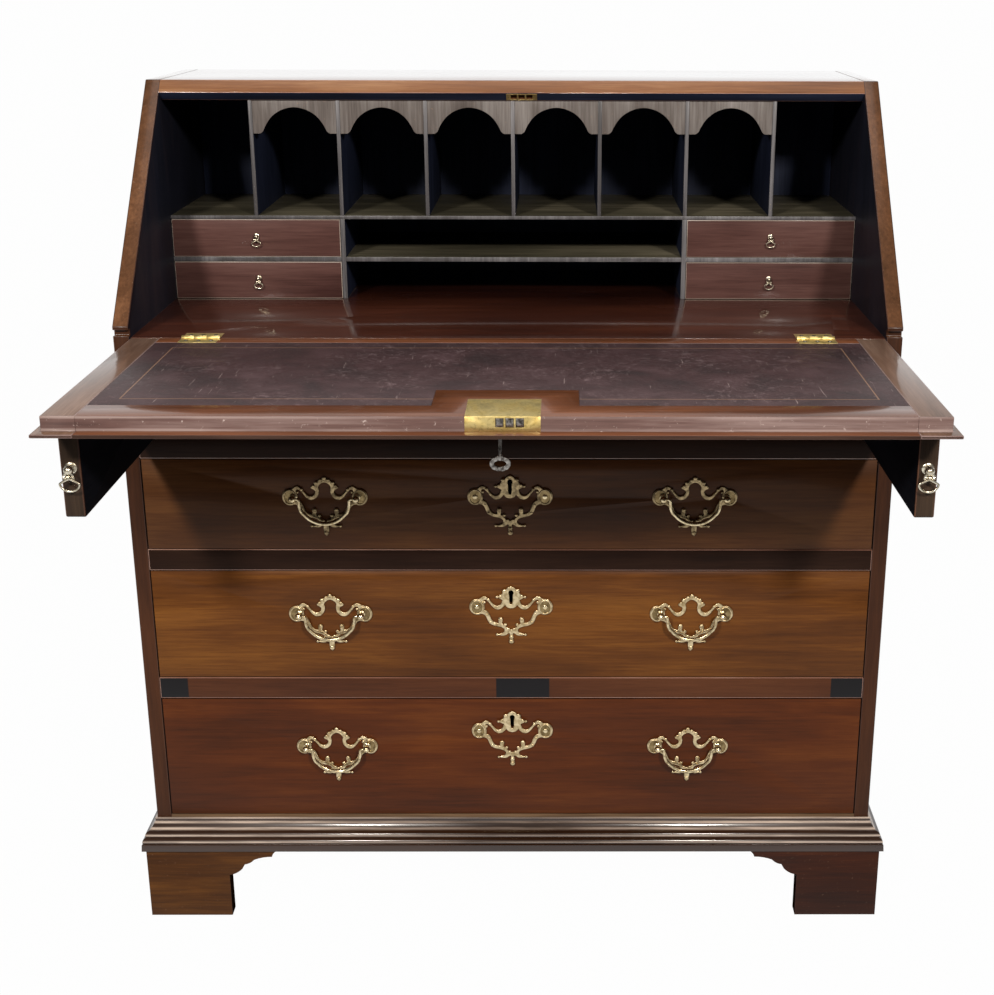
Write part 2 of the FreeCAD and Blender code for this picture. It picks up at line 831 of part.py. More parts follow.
def hinge_x(side):
    """A fall hinge's stretch across the desk."""
    return on_side(side, "hinge_inner_x", "hinge_inner_x + hinge_width")


def knuckle_span(side, index):
    """One knuckle's stretch along the hinge."""
    step = "(hinge_width / knuckle_count)"
    low = f"hinge_inner_x + {index} * {step} + slide_gap / 2"
    high = f"hinge_inner_x + {index + 1} * {step} - slide_gap / 2"
    return on_side(side, low, high)


def hinge_leaf(name, side, leaf):
    """A let-in leaf with its own knuckles; leaf is "bed" or "fall"."""
    towards = 1 if leaf == "bed" else -1
    root = f"hinge_setback + {towards} * (knuckle_radius + slide_gap)"
    tip = f"hinge_setback + {towards} * {leaf}_leaf_depth"
    flat = ("bed_level - leaf_thick", "bed_level")

    def between(one, other):
        return (one, other) if towards > 0 else (other, one)

    parts = [board(f"{name}_plate", hinge_x(side), between(root, tip), flat)]
    for index in range(0 if leaf == "fall" else 1, int(value("knuckle_count")), 2):
        span = knuckle_span(side, index)
        parts.append(rod(f"{name}_knuckle_{index}", "x", "knuckle_radius", *span,
                         ("hinge_setback", "bed_level"), BAR_SIDES))
        parts.append(board(f"{name}_tab_{index}", span,
                           between("hinge_setback", f"{root} + {towards} * slide_gap"), flat))
    bore = flat_bore(f"{name}_bore", "x", "hinge_pin_radius", *hinge_x(side),
                     ("hinge_setback", "bed_level"))
    return cut(name, joined(f"{name}_solid", parts), [bore])


def hinge_recess(name, side, leaf):
    """The shallow housing of a leaf and the round groove of its knuckles."""
    towards = 1 if leaf == "bed" else -1
    ends = ("hinge_setback", f"hinge_setback + {towards} * {leaf}_leaf_depth")
    if towards < 0:
        ends = ends[::-1]
    low, high = hinge_x(side)
    groove = rod(f"{name}_groove", "x", "knuckle_radius + slide_gap", f"{low} - slide_gap",
                 f"{high} + slide_gap", ("hinge_setback", "bed_level"))
    housing = board(f"{name}_housing", (low, high), ends,
                    ("bed_level - leaf_thick", "bed_level + overrun"))
    return [groove, housing]


def hinges():
    """The pair of fall hinges: leaves on the bed with their pins, leaves on the fall."""
    bed_parts = []
    fall_parts = []
    for name, side in SIDES:
        bed_parts.append(hinge_leaf(f"bed_leaf_{name}", side, "bed"))
        bed_parts.append(rod(f"hinge_pin_{name}", "x", "hinge_pin_radius", *hinge_x(side),
                             ("hinge_setback", "bed_level"), BAR_SIDES))
        fall_parts.append(hinge_leaf(f"fall_leaf_{name}", side, "fall"))
    node("bed_hinge_leaves", *bed_parts)
    node("fall_hinge_leaves", *fall_parts)


def writing_bed():
    """The fixed half of the writing surface, which runs back under the gallery."""
    plank = board("bed_plank", ACROSS, ("bed_front_y", "inner_depth"),
                  ("fall_level", "bed_level"))
    tools = []
    for name, side in SIDES:
        tools += hinge_recess(f"bed_{name}", side, "bed")
    node("writing_bed", cut("writing_bed_cut", plank, tools))


def leather_sheet(name, margin, z):
    """The leather's outline, notched round the lock's wooden field, between two levels."""
    whole = board(f"{name}_whole", (f"{margin} - panel_half", f"panel_half - {margin}"),
                  (f"leather_front_y + {margin}", f"leather_rear_y - {margin}"), z)
    field = board(f"{name}_field",
                  (f"0 - notch_left - {margin}", f"notch_right + {margin}"),
                  ("leather_front_y - overrun", f"leather_field_y + {margin}"),
                  (f"{z[0]} - overrun", f"{z[1]} + overrun"))
    return cut(f"{name}_sheet", whole, [field])


LOCK_X = ("-plate_left", "plate_right")
CASE_X = ("case_margin - plate_left", "plate_right - case_margin")
CASE_TOP = "bed_level - lock_plate_thick"
CASE_LOW = "bed_level - lock_plate_thick - case_height"
CASE_Y = ("arris_y + lock_plate_thick", "arris_y + lock_plate_thick + case_depth")
CORE_Z = ("lip_level", "bed_level")
LIP_Z = ("fall_level", "lip_level")


def keyhole_tools(name, low, high):
    """The key's hole through the fall: a round with a slot towards the hinge."""
    return [rod(f"{name}_round", "z", "keyhole_radius", low, high, ("key_x", "key_y")),
            board(f"{name}_slot",
                  ("key_x - keyhole_slot_width / 2", "key_x + keyhole_slot_width / 2"),
                  ("key_y", "key_y + keyhole_slot"), (low, high))]


def fall_panel():
    """The fall's middle, recessed for the leather, the lock and the hinges."""
    across = ("-panel_half", "panel_half")
    core = board("fall_core", across, ("arris_y", "fall_rear_y"), CORE_Z)
    lip = board("fall_lip", across, ("lip_front_y", "lip_rear_y"), LIP_Z)
    blank = joined("fall_blank", [core, lip])
    tools = [leather_sheet("leather_recess", "0",
                           ("bed_level - leather_thick - leather_sink",
                            "bed_level + overrun")),
             board("plate_recess", LOCK_X, ("arris_y", "arris_y + lock_plate_depth"),
                   (CASE_TOP, "bed_level + overrun")),
             board("selvedge_recess", LOCK_X, ("arris_y", "arris_y + lock_plate_thick"),
                   ("lip_level", "bed_level + overrun")),
             board("case_mortise", CASE_X, CASE_Y, (CASE_LOW, "bed_level"))]
    tools += keyhole_tools("fall_keyhole", "fall_level - overrun", "bed_level")
    for name, side in SIDES:
        tools += hinge_recess(f"fall_{name}", side, "fall")
    node("fall_panel", cut("fall_panel_cut", blank, tools))


def fall_clamps():
    """The cross-grained end boards of the fall, with the lip along both edges."""
    pieces = []
    for name, side in SIDES:
        core = board(f"clamp_core_{name}", on_side(side, "panel_half", "fall_half"),
                     ("arris_y", "fall_rear_y"), CORE_Z)
        lip = board(f"clamp_lip_{name}", on_side(side, "panel_half", "fall_half + lip_side"),
                    ("lip_front_y", "lip_rear_y"), LIP_Z)
        pieces.append(joined(f"fall_clamp_{name}", [core, lip]))
    node("fall_clamps", *pieces)


def fall_leather():
    """The leather writing surface."""
    node("fall_leather",
         leather_sheet("leather", "leather_gap",
                       ("bed_level - leather_thick - leather_sink",
                        "bed_level - leather_sink")))


def fall_lock():
    """The lock's case, its face plate with a turned selvedge, and its three bolts."""
    shell = board("case_blank", CASE_X, CASE_Y, (CASE_LOW, CASE_TOP))
    inner_low = f"{CASE_LOW} + case_wall"
    chamber = board("case_chamber", (f"{CASE_X[0]} + case_wall", f"{CASE_X[1]} - case_wall"),
                    (f"{CASE_Y[0]} - overrun", f"{CASE_Y[1]} - case_wall"),
                    (inner_low, f"{CASE_TOP} + overrun"))
    tools = [chamber] + keyhole_tools("case_keyhole", f"{CASE_LOW} - overrun", CASE_TOP)
    node("fall_lock_case", cut("lock_case_cut", shell, tools))

    plate = board("lock_top_plate", LOCK_X, ("arris_y", "arris_y + lock_plate_depth"),
                  (CASE_TOP, "bed_level"))
    selvedge = board("lock_selvedge", LOCK_X, ("arris_y", "arris_y + lock_plate_thick"),
                     ("lip_level", "bed_level"))
    bolt_z = ("bed_level - bolt_drop - bolt_height", "bed_level - bolt_drop")
    holes = [board(f"selvedge_hole_{index}", span,
                   ("arris_y - overrun", "arris_y + lock_plate_thick + slide_gap"),
                   (f"{bolt_z[0]} - slide_gap", f"{bolt_z[1]} + slide_gap"))
             for index, span in enumerate(bolt_spans("slide_gap"))]
    node("fall_lock_plate",
         cut("lock_plate_cut", joined("lock_plate_blank", [plate, selvedge]), holes))

    start = "arris_y + slide_gap"
    tongues = [board(f"bolt_{index}", span, (start, f"{start} + bolt_length + slide_gap"),
                     bolt_z)
               for index, span in enumerate(bolt_spans("0"))]
    bar = board("bolt_bar", ("bolt_centre_x - bolt_pitch - bolt_width / 2",
                             "bolt_centre_x + bolt_pitch + bolt_width / 2"),
                (f"{start} + bolt_length", f"{start} + bolt_length + bolt_bar_depth"), bolt_z)
    node("fall_bolts", joined("fall_bolts_solid", tongues + [bar]))


def fall_key():
    """The key, left in the lock from below, with its oval bow hanging down."""
    tip = "bed_level - key_tip_drop"
    end = f"{tip} - key_shaft_length"
    middle = f"{end} - key_bow_height / 2 + key_bow_band / 2"
    bow = body("key_bow")
    sketch = new_sketch(bow, "key_bow_outline", "XZ_Plane", lift="0 - key_y")
    for inset in ("0", "key_bow_band"):
        draw_ring(sketch, RING_SIDES, "key_x", middle, f"key_bow_width / 2 - {inset}",
                  f"key_bow_height / 2 - {inset}")
    pad(bow, sketch, "key_bow_thick", both_ways=True)
    shaft = rod("key_shaft", "z", "key_shaft_radius", end, tip, ("key_x", "key_y"),
                BAR_SIDES)
    collar = rod("key_collar", "z", "key_collar_radius", end, f"{end} + key_collar_height",
                 ("key_x", "key_y"), BAR_SIDES)
    bit = board("key_bit", ("key_x", "key_x + key_bit_length"),
                ("key_y - key_bit_thick / 2", "key_y + key_bit_thick / 2"),
                (f"{tip} - key_bit_height", tip))
    node("fall_key", joined("fall_key_solid", [bow, shaft, collar, bit]))


# Drop pulls, on the lopers and the small drawers

def pull_sizes(share):
    """Names each size of a drop pull at its share of the loper's pull."""
    def sized(name):
        return f"({name} * {share})"
    return sized


def drop_knob(name, share, x, face, z):
    """A rose on a stem with a ball, and two eared arms that hold a short pin."""
    of = pull_sizes(share)
    mid = f"{face} - {of('ball_reach')}"
    low = f"{z} - {of('ear_drop')}"
    yoke = f"{z} - {of('yoke_drop')}"
    across = (f"{x} - {of('ear_x')}", f"{x} + {of('ear_x')}")
    parts = [rod(f"{name}_rose", "y", of("rose_radius"), f"{face} - {of('rose_thick')}",
                 face, (x, z), BAR_SIDES),
             rod(f"{name}_stem", "y", of("stem_radius"), mid, face, (x, z), WIRE_SIDES),
             ball(f"{name}_ball", of("ball_radius"), (x, mid, z)),
             rod(f"{name}_yoke", "x", of("yoke_radius"), *across, (mid, yoke), WIRE_SIDES),
             rod(f"{name}_pin", "x", of("drop_pin_radius"), *across, (mid, low),
                 WIRE_SIDES)]
    for tag, middle in zip("ab", across):
        parts.append(rod(f"{name}_arm_{tag}", "z", of("ear_arm_radius"), low,
                         f"{yoke} + {of('yoke_radius')}", (middle, mid), WIRE_SIDES))
        parts.append(rod(f"{name}_ear_{tag}", "x", of("ear_radius"),
                         f"{middle} - {of('ear_thick')} / 2",
                         f"{middle} + {of('ear_thick')} / 2", (mid, low), BAR_SIDES))
    return joined(name, parts)


def drop_ring(name, share, x, face, z):
    """The fan-shaped drop: a bored barrel, two straight arms and a bowed foot."""
    of = pull_sizes(share)
    mid = f"{face} - {of('ball_reach')}"
    pin = f"{z} - {of('ear_drop')}"
    owner = body(f"{name}_fan")
    sketch = new_sketch(owner, f"{name}_fan_outline", "XZ_Plane", lift=f"0 - ({mid})")
    neck = of("barrel_half")
    shoulder = f"{pin} - {of('drop_shoulder')}"
    sag = f"({of('drop_depth')} - {of('drop_shoulder')})"

    def foot(inset):
        """The bowed foot as a few straight sides from left to right, set in by a size."""
        turns = [180 * step / BAR_SIDES for step in range(BAR_SIDES + 1)]
        return [("line", f"{x} - ({of('drop_half_width')} - {inset}) * cos({turn})",
                 f"{shoulder} - ({sag} - {inset}) * sin({turn})") for turn in turns]

    draw(sketch, (f"{x} - {neck}", pin), ("line", f"{x} - {neck}", f"{pin} - {of('drop_neck')}"),
         *foot("0"), ("line", f"{x} + {neck}", f"{pin} - {of('drop_neck')}"),
         ("line", f"{x} + {neck}", pin))
    draw(sketch, (x, f"{pin} - {of('drop_neck')} - {of('drop_wire')}"),
         *foot(of("drop_wire")))
    pad(owner, sketch, of("drop_wire"), both_ways=True)
    barrel = rod(f"{name}_barrel", "x", of("barrel_radius"), f"{x} - {neck}",
                 f"{x} + {neck}", (mid, pin), BAR_SIDES)
    bore = flat_bore(f"{name}_bore", "x", of("drop_pin_radius"),
                     f"{x} - {neck} - overrun", f"{x} + {neck} + overrun", (mid, pin))
    return cut(name, joined(f"{name}_solid", [owner, barrel]), [bore])


# Lopers

def lopers():
    """The sliding rails that carry the open fall, each with its drop pull."""
    for name, side in SIDES:
        owner = body(f"loper_{name}_body")
        sketch = new_sketch(owner, f"loper_{name}_outline", "YZ_Plane")
        low = "loper_level + slide_gap"
        high = "fall_level - slide_gap"
        front = "-loper_out"
        rear = "loper_length - loper_out"
        bend = "loper_edge_radius"
        draw(sketch, (f"{front} + {bend}", low), ("line", rear, low), ("line", rear, high),
             ("line", front, high), ("line", front, f"{low} + {bend}"),
             ("arc", f"{front} + {bend}", low, bend, "left"))
        pad(owner, sketch, "loper_width")
        bind(owner, "Placement.Base.x", on_side(side, "loper_inner", "loper_outer")[0])
        node(f"loper_{name}", owner)
        x = f"{side} * (loper_outer - loper_pull_inset)"
        z = f"{high} - loper_pull_drop"
        node(f"loper_knob_{name}", drop_knob(f"loper_{name}_knob", "1", x, front, z))
        node(f"loper_drop_{name}", drop_ring(f"loper_{name}_drop", "1", x, front, z))


# Pierced plates

# Outlines of half a plate's parts, as shares of plate_half_width across and up
NECK_shares = ((0.80, 0.16), (0.69, 0.262), (0.60, 0.275), (0.43, 0.062), (0.34, 0.012),
               (0.235, 0.062), (0.20, 0.177), (0.136, 0.177), (0.15, 0.045),
               (0.26, -0.066), (0.40, -0.058), (0.56, 0.165), (0.64, 0.20), (0.72, 0.10))
ARM_shares = ((0.72, -0.06), (0.58, -0.108), (0.53, -0.19), (0.475, -0.345),
              (0.40, -0.412), (0.215, -0.442), (0.0, -0.645), (0.0, -0.725),
              (0.225, -0.52), (0.43, -0.483), (0.545, -0.40), (0.60, -0.235),
              (0.66, -0.185), (0.75, -0.17))
BUD_shares = ((0.236, -0.46), (0.206, -0.335), (0.228, -0.277), (0.287, -0.277),
              (0.308, -0.335), (0.285, -0.46))
BARB_shares = ((0.05, -0.66), (0.143, -0.592), (0.19, -0.685), (0.362, -0.721),
               (0.16, -0.76))
OPEN_CREST_shares = ((0.0, 0.47), (0.07, 0.432), (0.15, 0.392), (0.23, 0.37),
                     (0.223, 0.306), (0.351, 0.234), (0.20, 0.166), (0.136, 0.166),
                     (0.16, 0.28), (0.0, 0.396))
SOLID_CREST_shares = ((0.0, 0.526), (0.085, 0.49), (0.108, 0.445), (0.202, 0.415),
                      (0.189, 0.347), (0.336, 0.255), (0.20, 0.18), (0.158, 0.075),
                      (0.095, -0.015), (0.0, -0.038))
LEAF_shares = ((0.0, -0.66), (0.055, -0.70), (0.06, -0.86), (0.0, -0.989))
DROP_shares = ((0.0, -0.66), (0.052, -0.77), (0.03, -0.826), (0.058, -0.894),
               (0.0, -0.97))


def plate_piece(owner, name, shares):
    """One flat piece of a plate."""
    sketch = new_sketch(owner, name, "XZ_Plane")
    corners = [(f"plate_half_width * {across}", f"plate_half_width * {up}")
               for across, up in shares]
    draw(sketch, corners[0], *[("line",) + corner for corner in corners[1:]])
    return pad(owner, sketch, "brass_thick")


def pierced_plate(name, solid_crest, hole_x):
    """A pierced plate: lobes, swan necks, lower arms, crest, buds, barbs and a foot."""
    owner = body(name)
    lobe = new_sketch(owner, f"{name}_lobe", "XZ_Plane")
    draw_ring(lobe, RING_SIDES, "lobe_x", "0", "lobe_half_width", "lobe_half_height")
    draw_ring(lobe, WIRE_SIDES, hole_x, "0", "post_hole_radius", "post_hole_radius")
    parts = {"neck": NECK_shares, "arm": ARM_shares, "bud": BUD_shares,
             "barb": BARB_shares,
             "crest": SOLID_CREST_shares if solid_crest else OPEN_CREST_shares,
             "foot": DROP_shares if solid_crest else LEAF_shares}
    pads = [pad(owner, lobe, "brass_thick")]
    pads += [plate_piece(owner, f"{name}_{part}", shares) for part, shares in parts.items()]
    doc.recompute()
    mirror = owner.newObject("PartDesign::Mirrored", f"{name}_mirror")
    mirror.Originals = pads
    mirror.MirrorPlane = (plane_of(owner, "YZ_Plane"), [""])
    owner.Tip = mirror
    if solid_crest:
        hole = new_sketch(owner, f"{name}_keyhole", "XZ_Plane")
        draw_ring(hole, BAR_SIDES, "0", "plate_keyhole_z", "plate_keyhole_radius",
                  "plate_keyhole_radius")
        slot = new_sketch(owner, f"{name}_slot", "XZ_Plane")
        half = "plate_keyhole_slot_width / 2"
        low = "plate_keyhole_z - plate_keyhole_drop"
        draw(slot, (f"0 - {half}", low), ("line", half, low), ("line", half, "plate_keyhole_z"),
             ("line", f"0 - {half}", "plate_keyhole_z"))
        pocket_through(owner, hole)
        pocket_through(owner, slot)
    return owner


def handle_post(name):
    """A bail's post: shank through the front, collar, nut and a cross-bored ball."""
    face = "0 - brass_thick"
    centre = f"{face} - post_reach"
    inside = "drawer_front_thick"
    parts = [rod(f"{name}_shank", "y", "post_shank_radius", centre,
                 f"{inside} + post_nut_thick", ("0", "0"), WIRE_SIDES),
             rod(f"{name}_collar", "y", "post_collar_radius", f"{face} - post_collar_thick",
                 face, ("0", "0"), BAR_SIDES),
             ball(f"{name}_ball", "post_ball_radius", ("0", centre, "0")),
             rod(f"{name}_nut", "y", "post_nut_radius", inside,
                 f"{inside} + post_nut_thick", ("0", "0"), WIRE_SIDES)]
    bore = flat_bore(f"{name}_bore", "x", "bail_end_radius", "0 - post_ball_radius - overrun",
                     "post_ball_radius + overrun", (centre, "0"))
    return cut(f"{name}_bored", joined(f"{name}_solid", parts), [bore])


def plate_screw(name):
    """The headed pin that holds a keyhole plate's lobe."""
    face = "0 - brass_thick"
    head = rod(f"{name}_head", "y", "screw_head_radius", f"{face} - screw_head_thick", face,
               ("0", "0"), BAR_SIDES)
    shank = rod(f"{name}_shank", "y", "post_shank_radius", face, "drawer_front_thick / 2",
                ("0", "0"), WIRE_SIDES)
    return joined(name, [head, shank])


def bail_loop():
    """The bail's three-centred curve, left to right, as a few straight stretches."""
    side = [(f"bail_inset + bail_side_radius * cos(bail_join_angle * {share})",
             f"0 - bail_side_drop - bail_side_radius * sin(bail_join_angle * {share})")
            for share in (0, 0.5)]
    bottom = []
    for step in range(BAR_SIDES - 1):
        angle = f"(bail_join_angle + (180 - bail_join_angle * 2) * {step} / {BAR_SIDES - 2})"
        bottom.append((f"0 - bail_bottom_radius * cos{angle}",
                       f"bail_centre_z - bail_bottom_radius * sin{angle}"))
    left = [(f"0 - ({x})", z) for x, z in side]
    return left + bottom + side[::-1]


def swan_bail(name, x, z):
    """A bail: two ends that turn in the posts and a three-centred loop below."""
    owner = body(name)
    depth = "0 - brass_thick - post_reach"
    path = new_sketch(owner, f"{name}_path", "XZ_Plane", lift=f"0 - ({depth})")
    tip = "post_x + bail_end_reach"
    corners = [("0 - bail_half_width", "0")] + bail_loop() + [("bail_half_width", "0")]
    draw(path, (f"0 - ({tip})", "0"), *[("line",) + corner for corner in corners],
         ("line", tip, "0"), closed=False)
    section = new_sketch(owner, f"{name}_section", "YZ_Plane", lift=f"0 - ({tip})")
    draw_ring(section, WIRE_SIDES, depth, "0", "bail_end_radius", "bail_end_radius")
    doc.recompute()
    pipe = owner.newObject("PartDesign::AdditivePipe", f"{name}_pipe")
    pipe.Profile = section
    pipe.Spine = path
    pipe.Transition = "Right corner"
    bind(owner, "Placement.Base.x", x)
    bind(owner, "Placement.Base.z", z)
    return owner


# Drawers

LONG_DRAWERS = (("low", "bottom_level", "low_rail_level"),
                ("middle", "middle_opening_level", "middle_rail_level"),
                ("top", "top_opening_level", "top_rail_level"))


def long_drawer(name, low, high, handle_plate, keyhole_plate, post, screw):
    """One long drawer with its front, box, brasses and two bails."""
    handle_z = f"{low} + {name}_handle_height"
    lock_z = f"{low} + {name}_lock_height"
    half = "inner_half - drawer_gap"
    front = board(f"{name}_front_blank", (f"-({half})", half), ("0", "drawer_front_thick"),
                  (f"{low} + drawer_gap", f"{high} - drawer_gap"))
    lock_top = f"{lock_z} + plate_keyhole_z + drawer_lock_below"
    lock_low = f"{lock_z} - drawer_lock_below"
    lock_x = ("-drawer_lock_width / 2", "drawer_lock_width / 2")
    lock_y = ("drawer_front_thick - drawer_lock_thick", "drawer_front_thick")
    through = ("0 - overrun", "drawer_front_thick + overrun")
    tools = [board(f"{name}_lock_recess", lock_x,
                   (lock_y[0], "drawer_front_thick + overrun"), (lock_low, lock_top)),
             rod(f"{name}_key_round", "y", "plate_keyhole_radius", "0 - overrun", lock_y[0],
                 ("0", f"{lock_z} + plate_keyhole_z"), BAR_SIDES),
             board(f"{name}_key_slot",
                   ("-plate_keyhole_slot_width / 2", "plate_keyhole_slot_width / 2"),
                   ("0 - overrun", lock_y[0]),
                   (f"{lock_z} + plate_keyhole_z - plate_keyhole_drop",
                    f"{lock_z} + plate_keyhole_z"))]
    post_places = []
    brasses = []
    for side_name, side in SIDES:
        for post_side in (-1, 1):
            post_places.append(f"{side} * handle_x + {post_side} * post_x")
        brasses.append(linked(f"{name}_plate_{side_name}", handle_plate,
                              f"{side} * handle_x", "0", handle_z))
    for index, x in enumerate(post_places):
        tools.append(rod(f"{name}_post_hole_{index}", "y", "post_hole_radius", *through,
                         (x, handle_z), WIRE_SIDES))
        brasses.append(linked(f"{name}_post_{index}", post, x, "0", handle_z))
    brasses.append(linked(f"{name}_keyhole_plate", keyhole_plate, "0", "0", lock_z))
    for index, side in enumerate((-1, 1)):
        x = f"{side} * lobe_x"
        tools.append(rod(f"{name}_screw_hole_{index}", "y", "post_hole_radius",
                         "0 - overrun", "drawer_front_thick / 2", (x, lock_z),
                         WIRE_SIDES))
        brasses.append(linked(f"{name}_screw_{index}", screw, x, "0", lock_z))
    brasses.append(board(f"{name}_lock", lock_x, lock_y, (lock_low, lock_top)))
    node(f"{name}_drawer_front", cut(f"{name}_front_cut", front, tools))
    node(f"{name}_drawer_brasses", *brasses)

    outer = "inner_half - drawer_run_gap"
    inner = f"{outer} - drawer_side_thick"
    wall_z = (f"{low} + slide_gap", f"{high} - drawer_side_drop")
    floor_z = (f"{low} + drawer_bottom_rise",
               f"{low} + drawer_bottom_rise + drawer_bottom_thick")
    back_y = ("drawer_box_depth - drawer_side_thick", "drawer_box_depth")
    box = [board(f"{name}_box_{side_name}", on_side(side, inner, outer),
                 ("drawer_front_thick", "drawer_box_depth"), wall_z)
           for side_name, side in SIDES]
    box.append(board(f"{name}_box_floor", (f"-({inner})", inner),
                     ("drawer_front_thick", "drawer_box_depth"), floor_z))
    box.append(board(f"{name}_box_back", (f"-({inner})", inner), back_y,
                     (floor_z[1], wall_z[1])))
    node(f"{name}_drawer_box", *box)
    for side_name, side in SIDES:
        node(f"{name}_bail_{side_name}",
             swan_bail(f"{name}_{side_name}_bail", f"{side} * handle_x", handle_z))


def small_drawer(tier, low, high, side_name, side):
    """A small drawer of the gallery with its rose and drop."""
    name = f"small_drawer_{tier}_{side_name}"
    edge = "(partition_x + partition_thick / 2 + small_drawer_gap)"
    far = "(inner_half - small_drawer_gap)"
    base = f"{low} + small_drawer_gap / 2"
    crown = f"{high} - small_drawer_gap"
    back = "inner_depth - small_drawer_gap"
    behind = "gallery_y + small_front_thick"
    floor_top = f"{base} + small_bottom_thick"
    parts = [board(f"{name}_front", on_side(side, edge, far),
                   ("gallery_y", behind), (base, crown)),
             board(f"{name}_near", on_side(side, edge, f"{edge} + small_side_thick"),
                   (behind, back), (base, crown)),
             board(f"{name}_far", on_side(side, f"{far} - small_side_thick", far),
                   (behind, back), (base, crown)),
             board(f"{name}_floor", on_side(side, f"{edge} + small_side_thick",
                                            f"{far} - small_side_thick"),
                   (behind, back), (base, floor_top)),
             board(f"{name}_back", on_side(side, f"{edge} + small_side_thick",
                                           f"{far} - small_side_thick"),
                   (f"{back} - small_side_thick", back), (floor_top, crown))]
    node(name, *parts)
    x = f"{side} * ({edge} + {far}) / 2"
    z = f"({low} + {high}) / 2 + small_pull_rise"
    node(f"{name}_knob", drop_knob(f"{name}_ball", "small_pull_share", x, "gallery_y", z))
    node(f"{name}_drop", drop_ring(f"{name}_fan", "small_pull_share", x, "gallery_y", z))


# Gallery

GALLERY_Y = ("gallery_y", "inner_depth")

# Half of a valance's lower edge, from the divider to the crown: places as shares
# of half the bay's width and of the drop from crown to cusp, with arc radii likewise
VALANCE_shares = ((0.16, 1.0, 0, ""), (0.24, 0.90, 0.3, "left"),
                  (0.42, 0.42, 2.0, "right"), (1.0, 0.0, 1.34, "right"))


def valance(index):
    """An apron between two dividers, cut to a broad arch with a cusp at each end."""
    owner = body(f"valance_{index}")
    sketch = new_sketch(owner, f"valance_{index}_outline", "XZ_Plane",
                        lift="0 - gallery_y - valance_setback - valance_thick")
    left = f"{index} * bay + divider_thick / 2"
    right = f"{index + 1} * bay - divider_thick / 2"
    half = "((bay - divider_thick) / 2)"
    crown = "ceiling_level - valance_crown_drop"
    fall = "(valance_cusp_drop - valance_crown_drop)"
    rising = []
    for across, drop, bend, turn in VALANCE_shares:
        place = (f"{left} + {half} * {across}", f"{crown} - {fall} * {drop}")
        rising.append(("arc", *place, f"{fall} * {bend}", turn) if bend
                      else ("line", *place))
    falling = []
    mirrored = [(f"{right} - {half} * {across}", f"{crown} - {fall} * {drop}")
                for across, drop, bend, turn in VALANCE_shares]
    for step in range(len(VALANCE_shares) - 1, 0, -1):
        bend, turn = VALANCE_shares[step][2:]
        place = mirrored[step - 1]
        falling.append(("arc", *place, f"{fall} * {bend}", turn) if bend
                       else ("line", *place))
    cusp = f"{crown} - {fall}"
    draw(sketch, (left, "ceiling_level"), ("line", left, cusp), *rising, *falling,
         ("line", right, cusp), ("line", right, "ceiling_level"))
    pad(owner, sketch, "valance_thick")
    return owner


def gallery():
    """Dividers, valances, shelves and partitions that stand on the bed."""
    count = int(value("bay_count"))
    steps = range(1 - count // 2, count // 2)
    node("gallery_dividers",
         *[board(f"divider_{step + count // 2}",
                 (f"{step} * bay - divider_thick / 2", f"{step} * bay + divider_thick / 2"),
                 GALLERY_Y, ("shelf_level", "ceiling_level")) for step in steps])
    node("gallery_valances", *[valance(step) for step in steps[:-1]])
    half = "partition_thick / 2"
    node("gallery_partitions",
         *[board(f"partition_{name}",
                 on_side(side, f"partition_x - {half}", f"partition_x + {half}"),
                 GALLERY_Y, ("bed_level", "shelf_level - shelf_thick"))
           for name, side in SIDES])
    middle_z = ("middle_shelf_level", "middle_shelf_level + middle_shelf_thick")
    shelves = [board("long_shelf", ACROSS, GALLERY_Y,
                     ("shelf_level - shelf_thick", "shelf_level")),
               board("middle_shelf", (f"{half} - partition_x", f"partition_x - {half}"),
                     GALLERY_Y, middle_z)]
    for name, side in SIDES:
        shelves.append(board(f"drawer_shelf_{name}",
                             on_side(side, f"partition_x + {half}", "inner_half"),
                             GALLERY_Y, middle_z))
    node("gallery_shelves", *shelves)
    tiers = (("upper", "middle_shelf_level + middle_shelf_thick",
              "shelf_level - shelf_thick"),
             ("lower", "bed_level", "middle_shelf_level"))
    for tier, low, high in tiers:
        for side_name, side in SIDES:
            small_drawer(tier, low, high, side_name, side)


# The whole desk

for side_label, side_sign in SIDES:
    side_board(f"side_{side_label}", side_sign)
top_board()
strike_plate()
back_boards()
writing_bed()
node("bottom_board", board("bottom_plank", ACROSS, ("0", "inner_depth"),
                           ("bottom_level - bottom_thick", "bottom_level")))
front_rails()
runners_and_dust_boards()
loper_guides()
base_moulding()
bracket_feet()
foot_blocks()
gallery()
hinges()
fall_panel()
fall_clamps()
fall_leather()
fall_lock()
fall_key()
lopers()
open_plate = pierced_plate("handle_plate_pattern", False, "post_x")
lock_plate = pierced_plate("keyhole_plate_pattern", True, "lobe_x")
post_pattern = handle_post("post_pattern")
screw_pattern = plate_screw("screw_pattern")
for drawer_name, floor_level, head_level in LONG_DRAWERS:
    long_drawer(drawer_name, floor_level, head_level, open_plate, lock_plate,
                post_pattern, screw_pattern)

doc.recompute()
faults = [item.Name for item in doc.Objects
          if {"Invalid", "Error"} & set(item.State)]
if faults:
    raise RuntimeError(f"features that failed: {faults}")
os.makedirs("parts", exist_ok=True)
for whole in NODES:
    shape = whole.Shape
    if shape.isNull() or not shape.isValid() or not shape.Solids:
        raise RuntimeError(f"{whole.Label} has no sound shape")
    shape.exportStep(os.path.join("parts", whole.Label + ".step"))
print(len(NODES), "sub-parts written")
